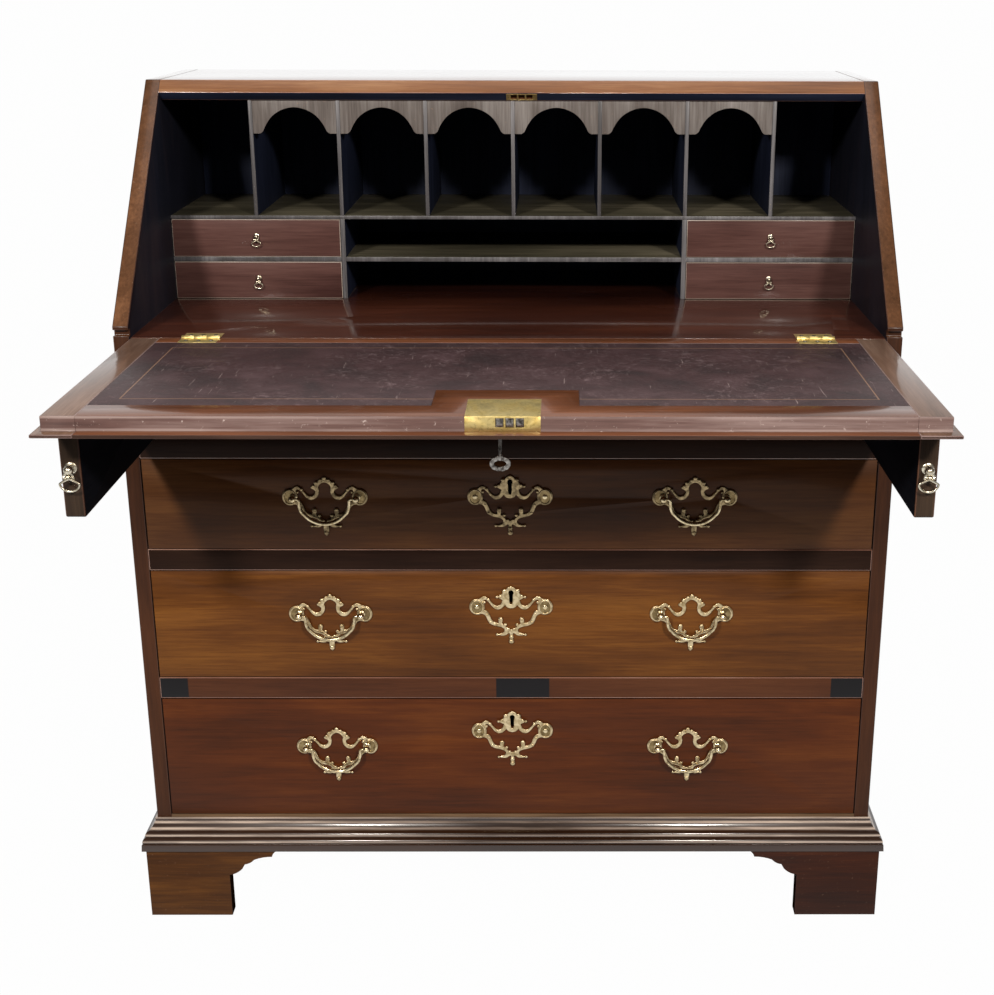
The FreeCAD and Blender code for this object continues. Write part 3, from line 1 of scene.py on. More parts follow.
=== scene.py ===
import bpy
import json
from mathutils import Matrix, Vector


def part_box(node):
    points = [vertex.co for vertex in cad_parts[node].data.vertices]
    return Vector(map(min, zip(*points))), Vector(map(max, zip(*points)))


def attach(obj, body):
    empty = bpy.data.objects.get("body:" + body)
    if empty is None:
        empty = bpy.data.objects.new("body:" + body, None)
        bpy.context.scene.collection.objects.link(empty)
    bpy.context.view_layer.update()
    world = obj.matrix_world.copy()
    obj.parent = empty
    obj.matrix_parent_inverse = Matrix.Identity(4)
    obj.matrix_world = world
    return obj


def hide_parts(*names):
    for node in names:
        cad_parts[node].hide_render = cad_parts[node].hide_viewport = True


with open("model.json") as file:
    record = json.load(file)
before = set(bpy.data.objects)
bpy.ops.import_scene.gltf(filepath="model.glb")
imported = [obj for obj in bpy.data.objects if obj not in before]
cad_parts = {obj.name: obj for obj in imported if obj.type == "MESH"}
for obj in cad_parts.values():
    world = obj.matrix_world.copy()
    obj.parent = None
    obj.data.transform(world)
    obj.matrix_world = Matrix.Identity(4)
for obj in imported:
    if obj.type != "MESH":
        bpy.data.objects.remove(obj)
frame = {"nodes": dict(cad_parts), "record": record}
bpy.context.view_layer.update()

import logging
import math
from collections.abc import Callable
from dataclasses import dataclass, field, replace
from enum import Enum

import bmesh
import bpy
from mathutils import Matrix, Vector

log = logging.getLogger("desk")
MM = 0.001
Socket = bpy.types.NodeSocket
Thing = bpy.types.Object
Mesh = bpy.types.Mesh
Material = bpy.types.Material
Tree = bpy.types.NodeTree
Node = bpy.types.Node


# Colours and nodes

def linear(hex_colour: str) -> tuple[float, float, float, float]:
    """Turns an sRGB hex colour into linear RGBA.

    Args:
        hex_colour: six hex digits.

    Returns:
        Red, green, blue and an alpha of 1, as a shader reads them.
    """
    parts = [int(hex_colour[i:i + 2], 16) / 255 for i in (0, 2, 4)]
    return (*[part / 12.92 if part <= 0.04045 else ((part + 0.055) / 1.055) ** 2.4
              for part in parts], 1.0)


def fill(tree: Tree, node: Node, inputs: dict) -> None:
    """Sets or links a node's inputs.

    Args:
        tree: the node tree.
        node: one of its nodes.
        inputs: values or sockets by the input's name or place.
    """
    for key, given in inputs.items():
        if isinstance(given, bpy.types.NodeSocket):
            tree.links.new(given, node.inputs[key])
        else:
            node.inputs[key].default_value = given


def add(tree: Tree, kind: str, *values, stops: tuple = (), **chosen) -> Node:
    """Adds one node with its settings and links.

    Args:
        tree: the node tree.
        kind: the node's type name.
        values: values or sockets for its first inputs, in order.
        stops: a colour ramp's places, each with its hex colour.
        chosen: settings in lower case, inputs by name, or inputs by "i" and their place.

    Returns:
        The new node.
    """
    node = tree.nodes.new(kind)
    inputs = dict(enumerate(values))
    for name, given in chosen.items():
        if name[0] == "i" and name[1:].isdigit():
            inputs[int(name[1:])] = given
        elif name.islower():
            setattr(node, name, given)
        else:
            inputs[name.replace("_", " ")] = given
    fill(tree, node, inputs)
    for place, colour in stops[2:]:
        node.color_ramp.elements.new(place)
    for i, (place, colour) in enumerate(stops):
        node.color_ramp.elements[i].position = place
        node.color_ramp.elements[i].color = linear(colour)
    return node


def new_material(name: str) -> tuple[Material, Tree, Node, Socket]:
    """An empty material with its shader.

    Args:
        name: what the real finish is called.

    Returns:
        The material, its tree, its shader node and its Object coordinates.
    """
    material = bpy.data.materials.new(name)
    material.use_nodes = True
    tree = material.node_tree
    place = add(tree, "ShaderNodeTexCoord").outputs["Object"]
    return material, tree, tree.nodes["Principled BSDF"], place


class Grain(Enum):
    """Which way a board's grain runs."""

    ACROSS = "x"
    INWARD = "y"
    UPRIGHT = "z"


@dataclass(frozen=True)
class Figure:
    """One layer of a wood's figure: streaks that run with the grain."""

    width_mm: float
    stretch: float
    detail: float
    twist: float = 0.0
    roughness: float = 0.5
    shift: float = 0.0

    def drawn(self, tree: Tree, place: Socket, grain: Grain, shift: float) -> Socket:
        """Draws the layer.

        Args:
            tree: the node tree.
            place: Object coordinates.
            grain: the board's grain.
            shift: moves the figure, so that two boards don't match.

        Returns:
            A value from 0 to 1.
        """
        moved = shift + self.shift
        scale = [1 / self.stretch if axis == grain.value else 1.0 for axis in "xyz"]
        along = add(tree, "ShaderNodeMapping", Vector=place, Scale=scale,
                    Location=(moved, moved * 0.7, moved * 1.3)).outputs[0]
        return add(tree, "ShaderNodeTexNoise", Vector=along, Scale=1 / (self.width_mm * MM),
                   Detail=self.detail, Roughness=self.roughness,
                   Distortion=self.twist).outputs["Fac"]


# Mahogany's vessel lines are about 0.2 mm wide, drawn at 0.7 mm so that they show
BROAD, STREAK = Figure(26.0, 9.0, 3.0, 0.9), Figure(3.2, 24.0, 4.0, 0.2, 0.6, 3.1)
CLOUD, PORES = Figure(130.0, 2.4, 2.0, shift=7.7), Figure(0.7, 40.0, 2.0, shift=1.3)
# Oak's rays and vessels are a little wider
OAK_BROAD, OAK_FINE = Figure(18.0, 12.0, 4.0, 0.6), Figure(1.6, 30.0, 3.0, shift=2.0)


# Finishes

@dataclass(frozen=True)
class PolishedWood:
    """Mahogany under old shellac: deep colour, long streaks and a soft shine.

    Hex colours run from the figure's dark to its light. Crests are heights, in metres,
    of pale lines: painted highlights, on the fall's edge partly wear too. Blocks are the
    left, right, low and high of dark patches.
    """

    name: str
    grain: Grain = Grain.ACROSS
    shift: float = 0.0
    dark: str = "432410"
    middle: str = "613616"
    light: str = "7C4A22"
    rough: float = 0.34
    level: float = 0.12
    coat: float = 0.05
    coat_rough: float = 0.12
    wear: float = 0.0
    wear_tone: str = "A98A72"
    crests: tuple[float, ...] = ()
    crest_tone: str = "DCC8B8"
    crest_half: float = 0.0020
    hollow: float = 0.62
    hollow_tone: str = "120A06"
    blocks: tuple[tuple[float, float, float, float], ...] = ()
    block_tone: str = "1A191B"
    soft: float = 0.001

    def worn(self, tree: Tree, place: Socket, colour: Socket) -> Socket:
        """Lays small rubbed specks over the colour.

        Args:
            tree: the node tree.
            place: Object coordinates.
            colour: the colour beneath.

        Returns:
            The colour with its specks.
        """
        specks = add(tree, "ShaderNodeTexNoise", Vector=place, Scale=1 / (5.0 * MM),
                     Detail=5.0, Roughness=0.7, Distortion=0.4).outputs["Fac"]
        share = add(tree, "ShaderNodeMapRange", specks, 0.63, 0.70, 0.0, self.wear)
        return add(tree, "ShaderNodeMix", share.outputs[0], i6=colour,
                   i7=linear(self.wear_tone), data_type="RGBA").outputs[2]

    def reeded(self, tree: Tree, axes: list[Socket], streak: Socket,
               colour: Socket) -> Socket:
        """Paints pale lines on the crests, painted highlights that on the fall's edge are
        partly wear, and darkens the face below the highest one.

        Args:
            tree: the node tree.
            axes: Object coordinates, apart.
            streak: the wood's fine streaks, which break the lines up.
            colour: the colour beneath.

        Returns:
            The colour with its lines.
        """
        # Painted highlight: the lines are brighter towards both ends than in the middle
        out = add(tree, "ShaderNodeMath", axes[0], operation="ABSOLUTE").outputs[0]
        ends = add(tree, "ShaderNodeMapRange", out, 0.06, 0.30, 0.26, 0.85).outputs[0]
        torn = add(tree, "ShaderNodeMapRange", streak, 0.38, 0.58, 0.5, 1.0).outputs[0]
        ragged = add(tree, "ShaderNodeMath", ends, torn, operation="MULTIPLY").outputs[0]
        # Darkens the whole face below the highest crest by the hollow share
        top = self.crests[0]
        under = add(tree, "ShaderNodeMapRange", axes[2], top + 0.002, top + 0.004,
                    self.hollow, 0.0).outputs[0]
        colour = add(tree, "ShaderNodeMix", under, i6=colour, i7=linear(self.hollow_tone),
                     data_type="RGBA").outputs[2]
        # Each crest gets a pale line: painted highlight, on the fall's edge partly wear
        for crest in self.crests:
            off = add(tree, "ShaderNodeMath", axes[2], crest, operation="SUBTRACT")
            off = add(tree, "ShaderNodeMath", off.outputs[0], operation="ABSOLUTE")
            line = add(tree, "ShaderNodeMapRange", off.outputs[0], self.crest_half / 5,
                       self.crest_half, 1.0, 0.0)
            share = add(tree, "ShaderNodeMath", line.outputs[0], ragged,
                        operation="MULTIPLY").outputs[0]
            colour = add(tree, "ShaderNodeMix", share, i6=colour,
                         i7=linear(self.crest_tone), data_type="RGBA").outputs[2]
        return colour

    def patched(self, tree: Tree, axes: list[Socket], colour: Socket) -> Socket:
        """Lays dark rectangular patches over the colour.

        Args:
            tree: the node tree.
            axes: Object coordinates, apart.
            colour: the colour beneath.

        Returns:
            The colour with its blocks.
        """
        for left, right, low, high in self.blocks:
            share = 1.0
            for axis, start, end in ((axes[0], left, right), (axes[2], low, high)):
                for edges in ((start - self.soft, start, 0.0, 1.0),
                              (end, end + self.soft, 1.0, 0.0)):
                    side = add(tree, "ShaderNodeMapRange", axis, *edges).outputs[0]
                    share = add(tree, "ShaderNodeMath", side, share,
                                operation="MULTIPLY").outputs[0]
            colour = add(tree, "ShaderNodeMix", share, i6=colour,
                         i7=linear(self.block_tone), data_type="RGBA").outputs[2]
        return colour

    def make(self) -> Material:
        """Builds the material.

        Returns:
            The finish.
        """
        material, tree, shader, place = new_material(self.name)
        axes = add(tree, "ShaderNodeSeparateXYZ", place).outputs
        broad, streak, cloud, pores = (layer.drawn(tree, place, self.grain, self.shift)
                                       for layer in (BROAD, STREAK, CLOUD, PORES))
        mixed = 0.0
        for layer, share in ((broad, 0.30), (streak, 0.26), (cloud, 0.44)):
            mixed = add(tree, "ShaderNodeMath", layer, share, mixed,
                        operation="MULTIPLY_ADD").outputs[0]
        colour = add(tree, "ShaderNodeValToRGB", mixed, stops=(
            (0.34, self.dark), (0.50, self.middle), (0.68, self.light))).outputs[0]
        lines = add(tree, "ShaderNodeMapRange", pores, 0.30, 0.46, 0.78, 1.0).outputs[0]
        colour = add(tree, "ShaderNodeMix", 1.0, i6=colour, i7=lines, data_type="RGBA",
                     blend_type="MULTIPLY").outputs[2]
        if self.wear:
            colour = self.worn(tree, place, colour)
        if self.crests:
            colour = self.reeded(tree, axes, streak, colour)
        colour = self.patched(tree, axes, colour)
        polish = add(tree, "ShaderNodeMapRange", cloud, 0.3, 0.7, self.rough - 0.05,
                     self.rough + 0.09).outputs[0]
        relief = add(tree, "ShaderNodeBump", Strength=0.35, Distance=0.05 * MM,
                     Height=streak).outputs[0]
        fill(tree, shader, {
            "Base Color": colour, "Roughness": polish, "Normal": relief, "IOR": 1.5,
            "Specular IOR Level": self.level, "Coat Weight": self.coat,
            "Coat Roughness": self.coat_rough, "Coat IOR": 1.5})
        return material


@dataclass(frozen=True)
class BareOak:
    """Planed oak without polish: dull, browned by age, with fine open grain."""

    name: str
    grain: Grain
    dark: str = "4A3726"
    light: str = "7C6248"

    def make(self) -> Material:
        """Builds the material.

        Returns:
            The finish.
        """
        material, tree, shader, place = new_material(self.name)
        broad, fine = (layer.drawn(tree, place, self.grain, 0.0)
                       for layer in (OAK_BROAD, OAK_FINE))
        mixed = add(tree, "ShaderNodeMath", broad, 0.65, operation="MULTIPLY").outputs[0]
        mixed = add(tree, "ShaderNodeMath", fine, 0.35, mixed,
                    operation="MULTIPLY_ADD").outputs[0]
        colour = add(tree, "ShaderNodeValToRGB", mixed, stops=(
            (0.36, self.dark), (0.68, self.light))).outputs[0]
        relief = add(tree, "ShaderNodeBump", Strength=0.5, Distance=0.12 * MM,
                     Height=fine).outputs[0]
        fill(tree, shader, {"Base Color": colour, "Roughness": 0.72, "Normal": relief,
                            "Specular IOR Level": 0.25})
        return material


@dataclass(frozen=True)
class AgedBrass:
    """Cast brass with worn gilding: bright on the high parts, brown in the hollows."""

    name: str
    bright: str = "DCC9A2"
    dull: str = "A8936C"
    hollow: str = "33261A"
    rough: float = 0.34
    patch_mm: float = 6.0
    cast_mm: float = 4.2
    cast_depth_mm: float = 0.05
    grime: float = 0.18

    def make(self) -> Material:
        """Builds the material.

        Returns:
            The finish.
        """
        material, tree, shader, place = new_material(self.name)
        patches, pits = (
            add(tree, "ShaderNodeTexNoise", Vector=place, Scale=1 / (size_mm * MM),
                Detail=detail, Roughness=0.5, Distortion=0.6).outputs["Fac"]
            for size_mm, detail in ((self.patch_mm, 4.0), (self.cast_mm, 2.0)))
        colour = add(tree, "ShaderNodeValToRGB", patches, stops=(
            (0.34, self.dull), (0.60, self.bright))).outputs[0]
        dirt = add(tree, "ShaderNodeMapRange", pits, 0.36, 0.46, self.grime, 0.0)
        colour = add(tree, "ShaderNodeMix", dirt.outputs[0], i6=colour,
                     i7=linear(self.hollow), data_type="RGBA").outputs[2]
        rough = add(tree, "ShaderNodeMapRange", patches, 0.3, 0.7, self.rough + 0.12,
                    self.rough - 0.05).outputs[0]
        relief = add(tree, "ShaderNodeBump", Strength=1.0, Distance=self.cast_depth_mm * MM,
                     Height=pits).outputs[0]
        fill(tree, shader, {"Base Color": colour, "Roughness": rough, "Metallic": 1.0,
                            "Normal": relief})
        return material


@dataclass(frozen=True)
class DullSteel:
    """Filed steel, greyed and spotted by handling."""

    name: str
    tone: str
    rough: float
    spot: str = "4A4440"

    def make(self) -> Material:
        """Builds the material.

        Returns:
            The finish.
        """
        material, tree, shader, place = new_material(self.name)
        patches = add(tree, "ShaderNodeTexNoise", Vector=place, Scale=1 / (3.0 * MM),
                      Detail=4.0, Roughness=0.5, Distortion=0.0).outputs["Fac"]
        colour = add(tree, "ShaderNodeValToRGB", patches, stops=(
            (0.35, self.spot), (0.62, self.tone))).outputs[0]
        fill(tree, shader, {"Base Color": colour, "Roughness": self.rough,
                            "Metallic": 1.0})
        return material


@dataclass(frozen=True)
class WornSkiver:
    """Thin dyed sheepskin, rubbed and scratched, with a tooled line near its edge."""

    name: str
    half_width: float
    front: float
    rear: float
    inset: float = 0.0265
    line: float = 0.0016
    rub: str = "7D6A6B"
    scratch: str = "9A8985"
    tool: str = "8B6A52"

    def tooled(self, tree: Tree, place: Socket) -> Socket:
        """Where the tooled line runs.

        Args:
            tree: the node tree.
            place: Object coordinates.

        Returns:
            1 on the line and 0 off it.
        """
        across, inward, _ = add(tree, "ShaderNodeSeparateXYZ", place).outputs
        middle, half_depth = (self.front + self.rear) / 2, (self.rear - self.front) / 2
        inward = add(tree, "ShaderNodeMath", inward, middle, operation="SUBTRACT")
        margins = []
        for axis, half in ((across, self.half_width), (inward.outputs[0], half_depth)):
            out = add(tree, "ShaderNodeMath", axis, operation="ABSOLUTE").outputs[0]
            margins.append(add(tree, "ShaderNodeMath", half, out,
                               operation="SUBTRACT").outputs[0])
        inside = add(tree, "ShaderNodeMath", *margins, operation="MINIMUM").outputs[0]
        off = add(tree, "ShaderNodeMath", inside, self.inset, operation="SUBTRACT")
        off = add(tree, "ShaderNodeMath", off.outputs[0], operation="ABSOLUTE").outputs[0]
        return add(tree, "ShaderNodeMapRange", off, self.line * 0.35, self.line * 0.6, 1.0,
                   0.0).outputs[0]

    def make(self) -> Material:
        """Builds the material.

        Returns:
            The finish.
        """
        material, tree, shader, place = new_material(self.name)
        tooled = self.tooled(tree, place)
        drawn_out = add(tree, "ShaderNodeMapping", Vector=place, Rotation=(0, 0, 0.5),
                        Scale=(1.0, 0.06, 1.0)).outputs[0]
        cloud, scuff, patch, scratch = (
            add(tree, "ShaderNodeTexNoise", Vector=where, Scale=1 / (size_mm * MM),
                Detail=detail, Roughness=roughness, Distortion=twist).outputs["Fac"]
            for where, size_mm, detail, twist, roughness in (
                (place, 60.0, 5.0, 0.4, 0.6), (place, 9.0, 8.0, 1.2, 0.72),
                (place, 90.0, 2.0, 0.0, 0.5), (drawn_out, 2.2, 2.0, 0.8, 0.5)))
        colour = add(tree, "ShaderNodeValToRGB", cloud, stops=(
            (0.32, "2B1A1B"), (0.52, "3A2425"), (0.72, "4A3436"))).outputs[0]
        rubbed, patch, cut, rough = (
            add(tree, "ShaderNodeMapRange", *span).outputs[0] for span in (
                (scuff, 0.52, 0.68), (patch, 0.44, 0.62, 0.05, 0.62),
                (scratch, 0.70, 0.75), (scuff, 0.3, 0.7, 0.42, 0.62)))
        for cover, share, tone in ((rubbed, patch, self.rub), (cut, 0.55, self.scratch),
                                   (tooled, 0.75, self.tool)):
            share = add(tree, "ShaderNodeMath", cover, share, operation="MULTIPLY")
            colour = add(tree, "ShaderNodeMix", share.outputs[0], i6=colour,
                         i7=linear(tone), data_type="RGBA").outputs[2]
        # Skiver's pores are about 0.3 mm apart, drawn at 1 mm so that they show
        pores = add(tree, "ShaderNodeTexVoronoi", Vector=place, Scale=1 / MM).outputs[0]
        pores = add(tree, "ShaderNodeMath", pores, 0.3, operation="MULTIPLY").outputs[0]
        height = add(tree, "ShaderNodeMath", pores, tooled, operation="SUBTRACT").outputs[0]
        relief = add(tree, "ShaderNodeBump", Strength=0.6, Distance=0.18 * MM,
                     Height=height).outputs[0]
        fill(tree, shader, {"Base Color": colour, "Roughness": rough, "Normal": relief,
                            "Specular IOR Level": 0.35})
        return material


# Every finish but the leather, named for what it is and where it is found
FINISHES = {finish.name: finish for finish in (
    PolishedWood("polished mahogany", shift=2.0),
    PolishedWood("polished side", Grain.UPRIGHT, 0.0, "2B180E", "3E2314", "53311D"),
    PolishedWood("stained end", Grain.UPRIGHT, 0.0, "131419", "1B1C25", "2A2428",
                 level=0.1, coat=0.0),
    PolishedWood("faced edge", Grain.UPRIGHT, 0.0, "3E2818", "5C3D28", "80583C", wear=0.25),
    PolishedWood("faced top band", Grain.ACROSS, 2.6, "5C3B26", "7E5436", "A27A56"),
    # Waxed until it mirrors what lies behind it
    PolishedWood("waxed top", shift=2.9, rough=0.10, level=0.5, coat=1.0, coat_rough=0.04),
    PolishedWood("polished bed", Grain.ACROSS, 3.0, "28120C", "3A1C12", "4E281A",
                 coat=0.9, coat_rough=0.08),
    PolishedWood("drawer rail mahogany", Grain.ACROSS, 3.5, "3A2013", "4E2C1A", "5E3822",
                 blocks=tuple((*ends, *tier) for tier in ((0.3, 0.45), (0.45, 0.6))
                              for ends in ((-0.47, -0.42), (-0.02, 0.048),
                                           (0.4147, 0.47)))),
    # Painted shade on the rails under the fall
    PolishedWood("rail mahogany with painted shade", Grain.ACROSS, 3.7, "1C110C", "281912", "34231A",
                 level=0.06, coat=0.0),
    *(PolishedWood(f"bracket mahogany {grain.value}", grain, shift, "2E180A", "4C2C10",
                   "70461C", wear=0.25)
      for grain, shift in ((Grain.ACROSS, 4.2), (Grain.INWARD, 4.4))),
    PolishedWood("darker bracket mahogany", Grain.ACROSS, 4.3, "26120A", "3C1C0E", "582E16",
                 wear=0.25),
    PolishedWood("sawn bracket edge", Grain.INWARD, 4.9, "120B08", "1C110B", "2A1A10",
                 rough=0.8, level=0.0, coat=0.0),
    # Painted highlights along the reeds' crests, brighter towards the ends, over a face
    # darkened below the highest crest
    *(PolishedWood(f"moulded mahogany {grain.value}", grain, shift, rough=0.25, level=0.4,
                   coat=0.6, crests=(0.1418, 0.1358, 0.1288, 0.1218, 0.1139), hollow=0.82)
      for grain, shift in ((Grain.ACROSS, 4.6), (Grain.INWARD, 4.8))),
    # Black inside the gallery and on the back boards
    *(PolishedWood(f"black stained wood {grain.value}", grain, 5.0, "141824", "1E2334",
                   "2C3246", rough=0.5, level=0.08, coat=0.0)
      for grain in (Grain.ACROSS, Grain.UPRIGHT)),
    # Near black: painted shade on the lopers under the fall
    PolishedWood("loper side painted shade", Grain.INWARD, 5.6, "06070A", "0B0C11", "14151A",
                 rough=0.6, level=0.03, coat=0.0),
    PolishedWood("loper end", Grain.UPRIGHT, 11.0, "241A14", "33271E", "4A3A2C"),
    # Front edges in the gallery greyed: partly wear, partly painted sheen
    PolishedWood("gallery edge wear and painted sheen", Grain.UPRIGHT, 7.0, "33302F", "525052", "858386",
                 level=0.4),
    # Shelf tops paler: partly wear, partly painted light from above
    PolishedWood("shelf top wear and painted light", Grain.ACROSS, 7.2, "2C2A22", "4C483A", "77705E", wear=0.3),
    PolishedWood("gallery fronts", Grain.UPRIGHT, 7.4, "443A37", "6B6460", "9A9592",
                 wear=0.35),
    PolishedWood("small front", Grain.ACROSS, 10.0, "3C2522", "593D38", "6E504A"),
    # Eased edges paler and shinier: partly wear, partly painted highlight
    PolishedWood("mahogany arris wear and painted highlight", Grain.ACROSS, 9.0, "6B4434", "946A58", "C0A090",
                 rough=0.22, level=0.6, coat=0.8),
    # Thin edges of small drawers, nearly white: partly wear, partly painted highlight
    PolishedWood("small drawer edge wear and painted highlight", Grain.ACROSS, 9.2, "7A6A5E", "A39588", "CFC4BA",
                 level=0.4),
    # Painted shade on the eased edges of the long drawers, for the dark gaps round them
    PolishedWood("long drawer edge painted shade", Grain.ACROSS, 9.5, "0A0605", "120A07", "1C100B",
                 rough=0.5, level=0.05, coat=0.0),
    # Edges that hands and cloths have only begun to wear
    PolishedWood("softened mahogany edge", Grain.UPRIGHT, 9.6, "2A1810", "402619", "5E3D2A",
                 level=0.3),
    PolishedWood("fall panel mahogany", Grain.ACROSS, 10.0, "4C2A18", "6B3E24", "885436",
                 coat=0.5),
    PolishedWood("fall outer face", shift=10.2),
    # Greyer and paler than the panel: its own tone, partly painted sheen
    PolishedWood("fall clamp mahogany", Grain.INWARD, 10.5, "584030", "735746", "927664",
                 coat=0.6),
    PolishedWood("rubbed fall arris", Grain.ACROSS, 10.6, "3C2824", "5C453E", "806A62"),
    # Greyed, pale tones: partly painted sheen; its specks are wear, its two lines partly
    # wear and partly painted highlight
    PolishedWood("front edge wear and painted sheen", Grain.ACROSS, 10.8, "44302D", "664D48", "947F7A",
                 level=0.3, wear=0.85, wear_tone="C4B4AE", crest_tone="A08C86",
                 hollow=0.0),
    PolishedWood("shaded lip", Grain.ACROSS, 10.9, "2A1C16", "3E2B23", "584238"),
    PolishedWood("drawer front low", Grain.ACROSS, 12.0, "3A1C0B", "542910", "6E3C18"),
    PolishedWood("drawer front middle", Grain.ACROSS, 13.7, "42240F", "603816", "845423"),
    PolishedWood("drawer front top", Grain.ACROSS, 15.4, "3C2211", "553218", "704826"),
    *(BareOak(f"planed oak {grain.value}", grain) for grain in Grain),
    AgedBrass("aged cast brass"),
    # The top row's plates are darker: painted shade under the fall
    AgedBrass("browned cast brass", "A89470", "6E5F47"),
    # The dished ground of a plate's round ends
    AgedBrass("brown brass ground", "98845E", "6E5C3E", rough=0.4, grime=0.4),
    # Bails and posts, worn smooth
    AgedBrass("hand worn brass", "DCCBA6", "A08C68", rough=0.24, cast_mm=7.0,
              cast_depth_mm=0.04, grime=0.3),
    # The drop pulls, rubbed paler than the bails
    AgedBrass("pale rubbed brass", "E0D8C4", "A49A84", rough=0.26, cast_mm=7.0,
              cast_depth_mm=0.03, grime=0.3),
    # Sheet brass of the lock and the hinges
    AgedBrass("rolled yellow brass", "EBD592", "C4AC68", "8A7440", 0.42, 14.0, 3.5, 0.08,
              0.35),
    DullSteel("filed steel", "A5A19C", 0.34))}
Finish = PolishedWood | BareOak | AgedBrass | DullSteel | WornSkiver


# Meshes

Rule = Callable[[Vector, Vector], int]
ACROSS, FORWARD, UP = Vector((1, 0, 0)), Vector((0, -1, 0)), Vector((0, 0, 1))
ONE_CORNER = 2e-6  # corners nearer than this, in metres, are one
ONE_FACE = math.radians(0.6)  # faces that meet at less than this are one
SHARP = math.radians(30.0)  # faces that meet at more than this have an edge to ease


def placed(name: str, form: bpy.types.ID) -> Thing:
    """Puts a mesh, curve, lamp or camera into the scene.

    Args:
        name: its name.
        form: what it is.

    Returns:
        The new object, at the origin.
    """
    thing = bpy.data.objects.new(name, form)
    bpy.context.scene.collection.objects.link(thing)
    return thing


def merged(node: str) -> bmesh.types.BMesh:
    """Opens a solid for work, with its corners merged.

    Args:
        node: the solid's node.

    Returns:
        Its open mesh.
    """
    work = bmesh.new()
    work.from_mesh(frame["nodes"][node].data)
    bmesh.ops.remove_doubles(work, verts=work.verts, dist=ONE_CORNER)
    return work


def finished(name: str, work: bmesh.types.BMesh) -> Mesh:
    """Ends the work on a new mesh.

    Args:
        name: the mesh's name.
        work: its open mesh.

    Returns:
        The closed mesh.
    """
    mesh = bpy.data.meshes.new(name)
    work.to_mesh(mesh)
    work.free()
    return mesh


def settle(piece: Thing, node: str, body: str = "") -> None:
    """Lets a finished piece ride on a body and stand for its solid.

    Args:
        piece: the piece.
        node: the solid that it shows, or whose slot it shares.
        body: what it rides on, where it only adds detail to a body.
    """
    bodies, rows = frame["record"]["behaviour"]["bodies"], frame["record"]["subparts"]
    carrier = body or next(name for name, nodes in bodies.items() if node in nodes)
    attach(piece, carrier)
    if not body:
        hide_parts(node)
    log.info("%s, on %s", piece.name, carrier)


def baked(piece: Thing) -> Thing:
    """Turns a piece's modifiers into its own mesh.

    Args:
        piece: the piece.

    Returns:
        The same piece.
    """
    graph = bpy.context.evaluated_depsgraph_get()
    made = bpy.data.meshes.new_from_object(piece.evaluated_get(graph))
    piece.modifiers.clear()
    piece.data = made
    return piece


def smoothed(piece: Thing, degrees: float) -> None:
    """Shades a piece smooth, but for its sharper edges.

    Args:
        piece: the piece.
        degrees: the angle from which an edge is sharp.
    """
    work = bmesh.new()
    work.from_mesh(piece.data)
    for one in work.faces:
        one.smooth = True
    limit = math.radians(degrees)
    for edge in work.edges:
        edge.smooth = len(edge.link_faces) == 2 and edge.calc_face_angle(0) < limit
    work.to_mesh(piece.data)
    work.free()


def eased(piece: Thing, width_mm: float, edge_slot: int, least_mm: float) -> None:
    """Rounds a piece's sharp edges.

    Args:
        piece: the piece.
        width_mm: how far the rounding reaches on each face.
        edge_slot: the material slot of the rounded strips, or -1 for their faces' own.
        least_mm: edges shorter than this, as round a mortise, stay sharp.
    """
    work = bmesh.new()
    work.from_mesh(piece.data)
    weight = work.edges.layers.float.new("bevel_weight_edge")
    for edge in work.edges:
        if len(edge.link_faces) == 2 and edge.calc_length() >= least_mm * MM:
            edge[weight] = float(edge.calc_face_angle(0) > SHARP)
    work.to_mesh(piece.data)
    work.free()
    bevel = piece.modifiers.new("eased", "BEVEL")
    bevel.width, bevel.segments = width_mm * MM, 2
    bevel.limit_method = "WEIGHT"
    bevel.use_clamp_overlap = True
    bevel.material = edge_slot
    smoothed(baked(piece), 42.0)


def dressed(node: str, *finishes: Material, rule: Rule | None = None,
            ease_mm: float = 0.8, edge_slot: int = -1, least_mm: float = 0.0) -> None:
    """Shows a solid as a clean, eased and finished piece.

    Args:
        node: the solid's node.
        finishes: its materials in slot order.
        rule: picks a slot from a face's centre and normal.
        ease_mm: how far the edges are eased.
        edge_slot: the slot of the eased edges.
        least_mm: edges shorter than this, as round a mortise, stay sharp.
    """
    work = merged(node)
    bmesh.ops.dissolve_limit(work, angle_limit=ONE_FACE, verts=work.verts,
                             edges=work.edges, delimit=set())
    piece = placed(f"{node}_dressed", finished(f"{node}_dressed", work))
    for finish in finishes:
        piece.data.materials.append(finish)
    if rule is not None:
        for one in piece.data.polygons:
            one.material_index = rule(one.center, one.normal)
    eased(piece, ease_mm, edge_slot, least_mm)
    settle(piece, node)


def gathered(parts: list[tuple[Mesh, Material]], node: str, body: str = "") -> None:
    """Joins meshes into one piece.

    Args:
        parts: each mesh with its finish.
        node: the solid that it shows, or whose slot it shares.
        body: what it rides on, where it only adds the hinges' details to a body.
    """
    finishes = list(dict.fromkeys(finish for _, finish in parts))
    work = bmesh.new()
    for mesh, finish in parts:
        start = len(work.faces)
        work.from_mesh(mesh)
        work.faces.ensure_lookup_table()
        for face in work.faces[start:]:
            face.material_index = finishes.index(finish)
    bmesh.ops.remove_doubles(work, verts=work.verts, dist=1e-7)
    name = f"{body}_hinge_details" if body else f"{node}_dressed"
    piece = placed(name, finished(name, work))
    for finish in finishes:
        piece.data.materials.append(finish)
    smoothed(piece, 38.0)
    settle(piece, node, body)


def hinge_place(joint: str) -> Vector:
    """Where a joint's axis is, from the record."""
    rows = frame["record"]["behaviour"]["joints"]
    return Vector(next(row["pos_m"] for row in rows if row["name"] == joint))


# Forms that repeat or follow a path

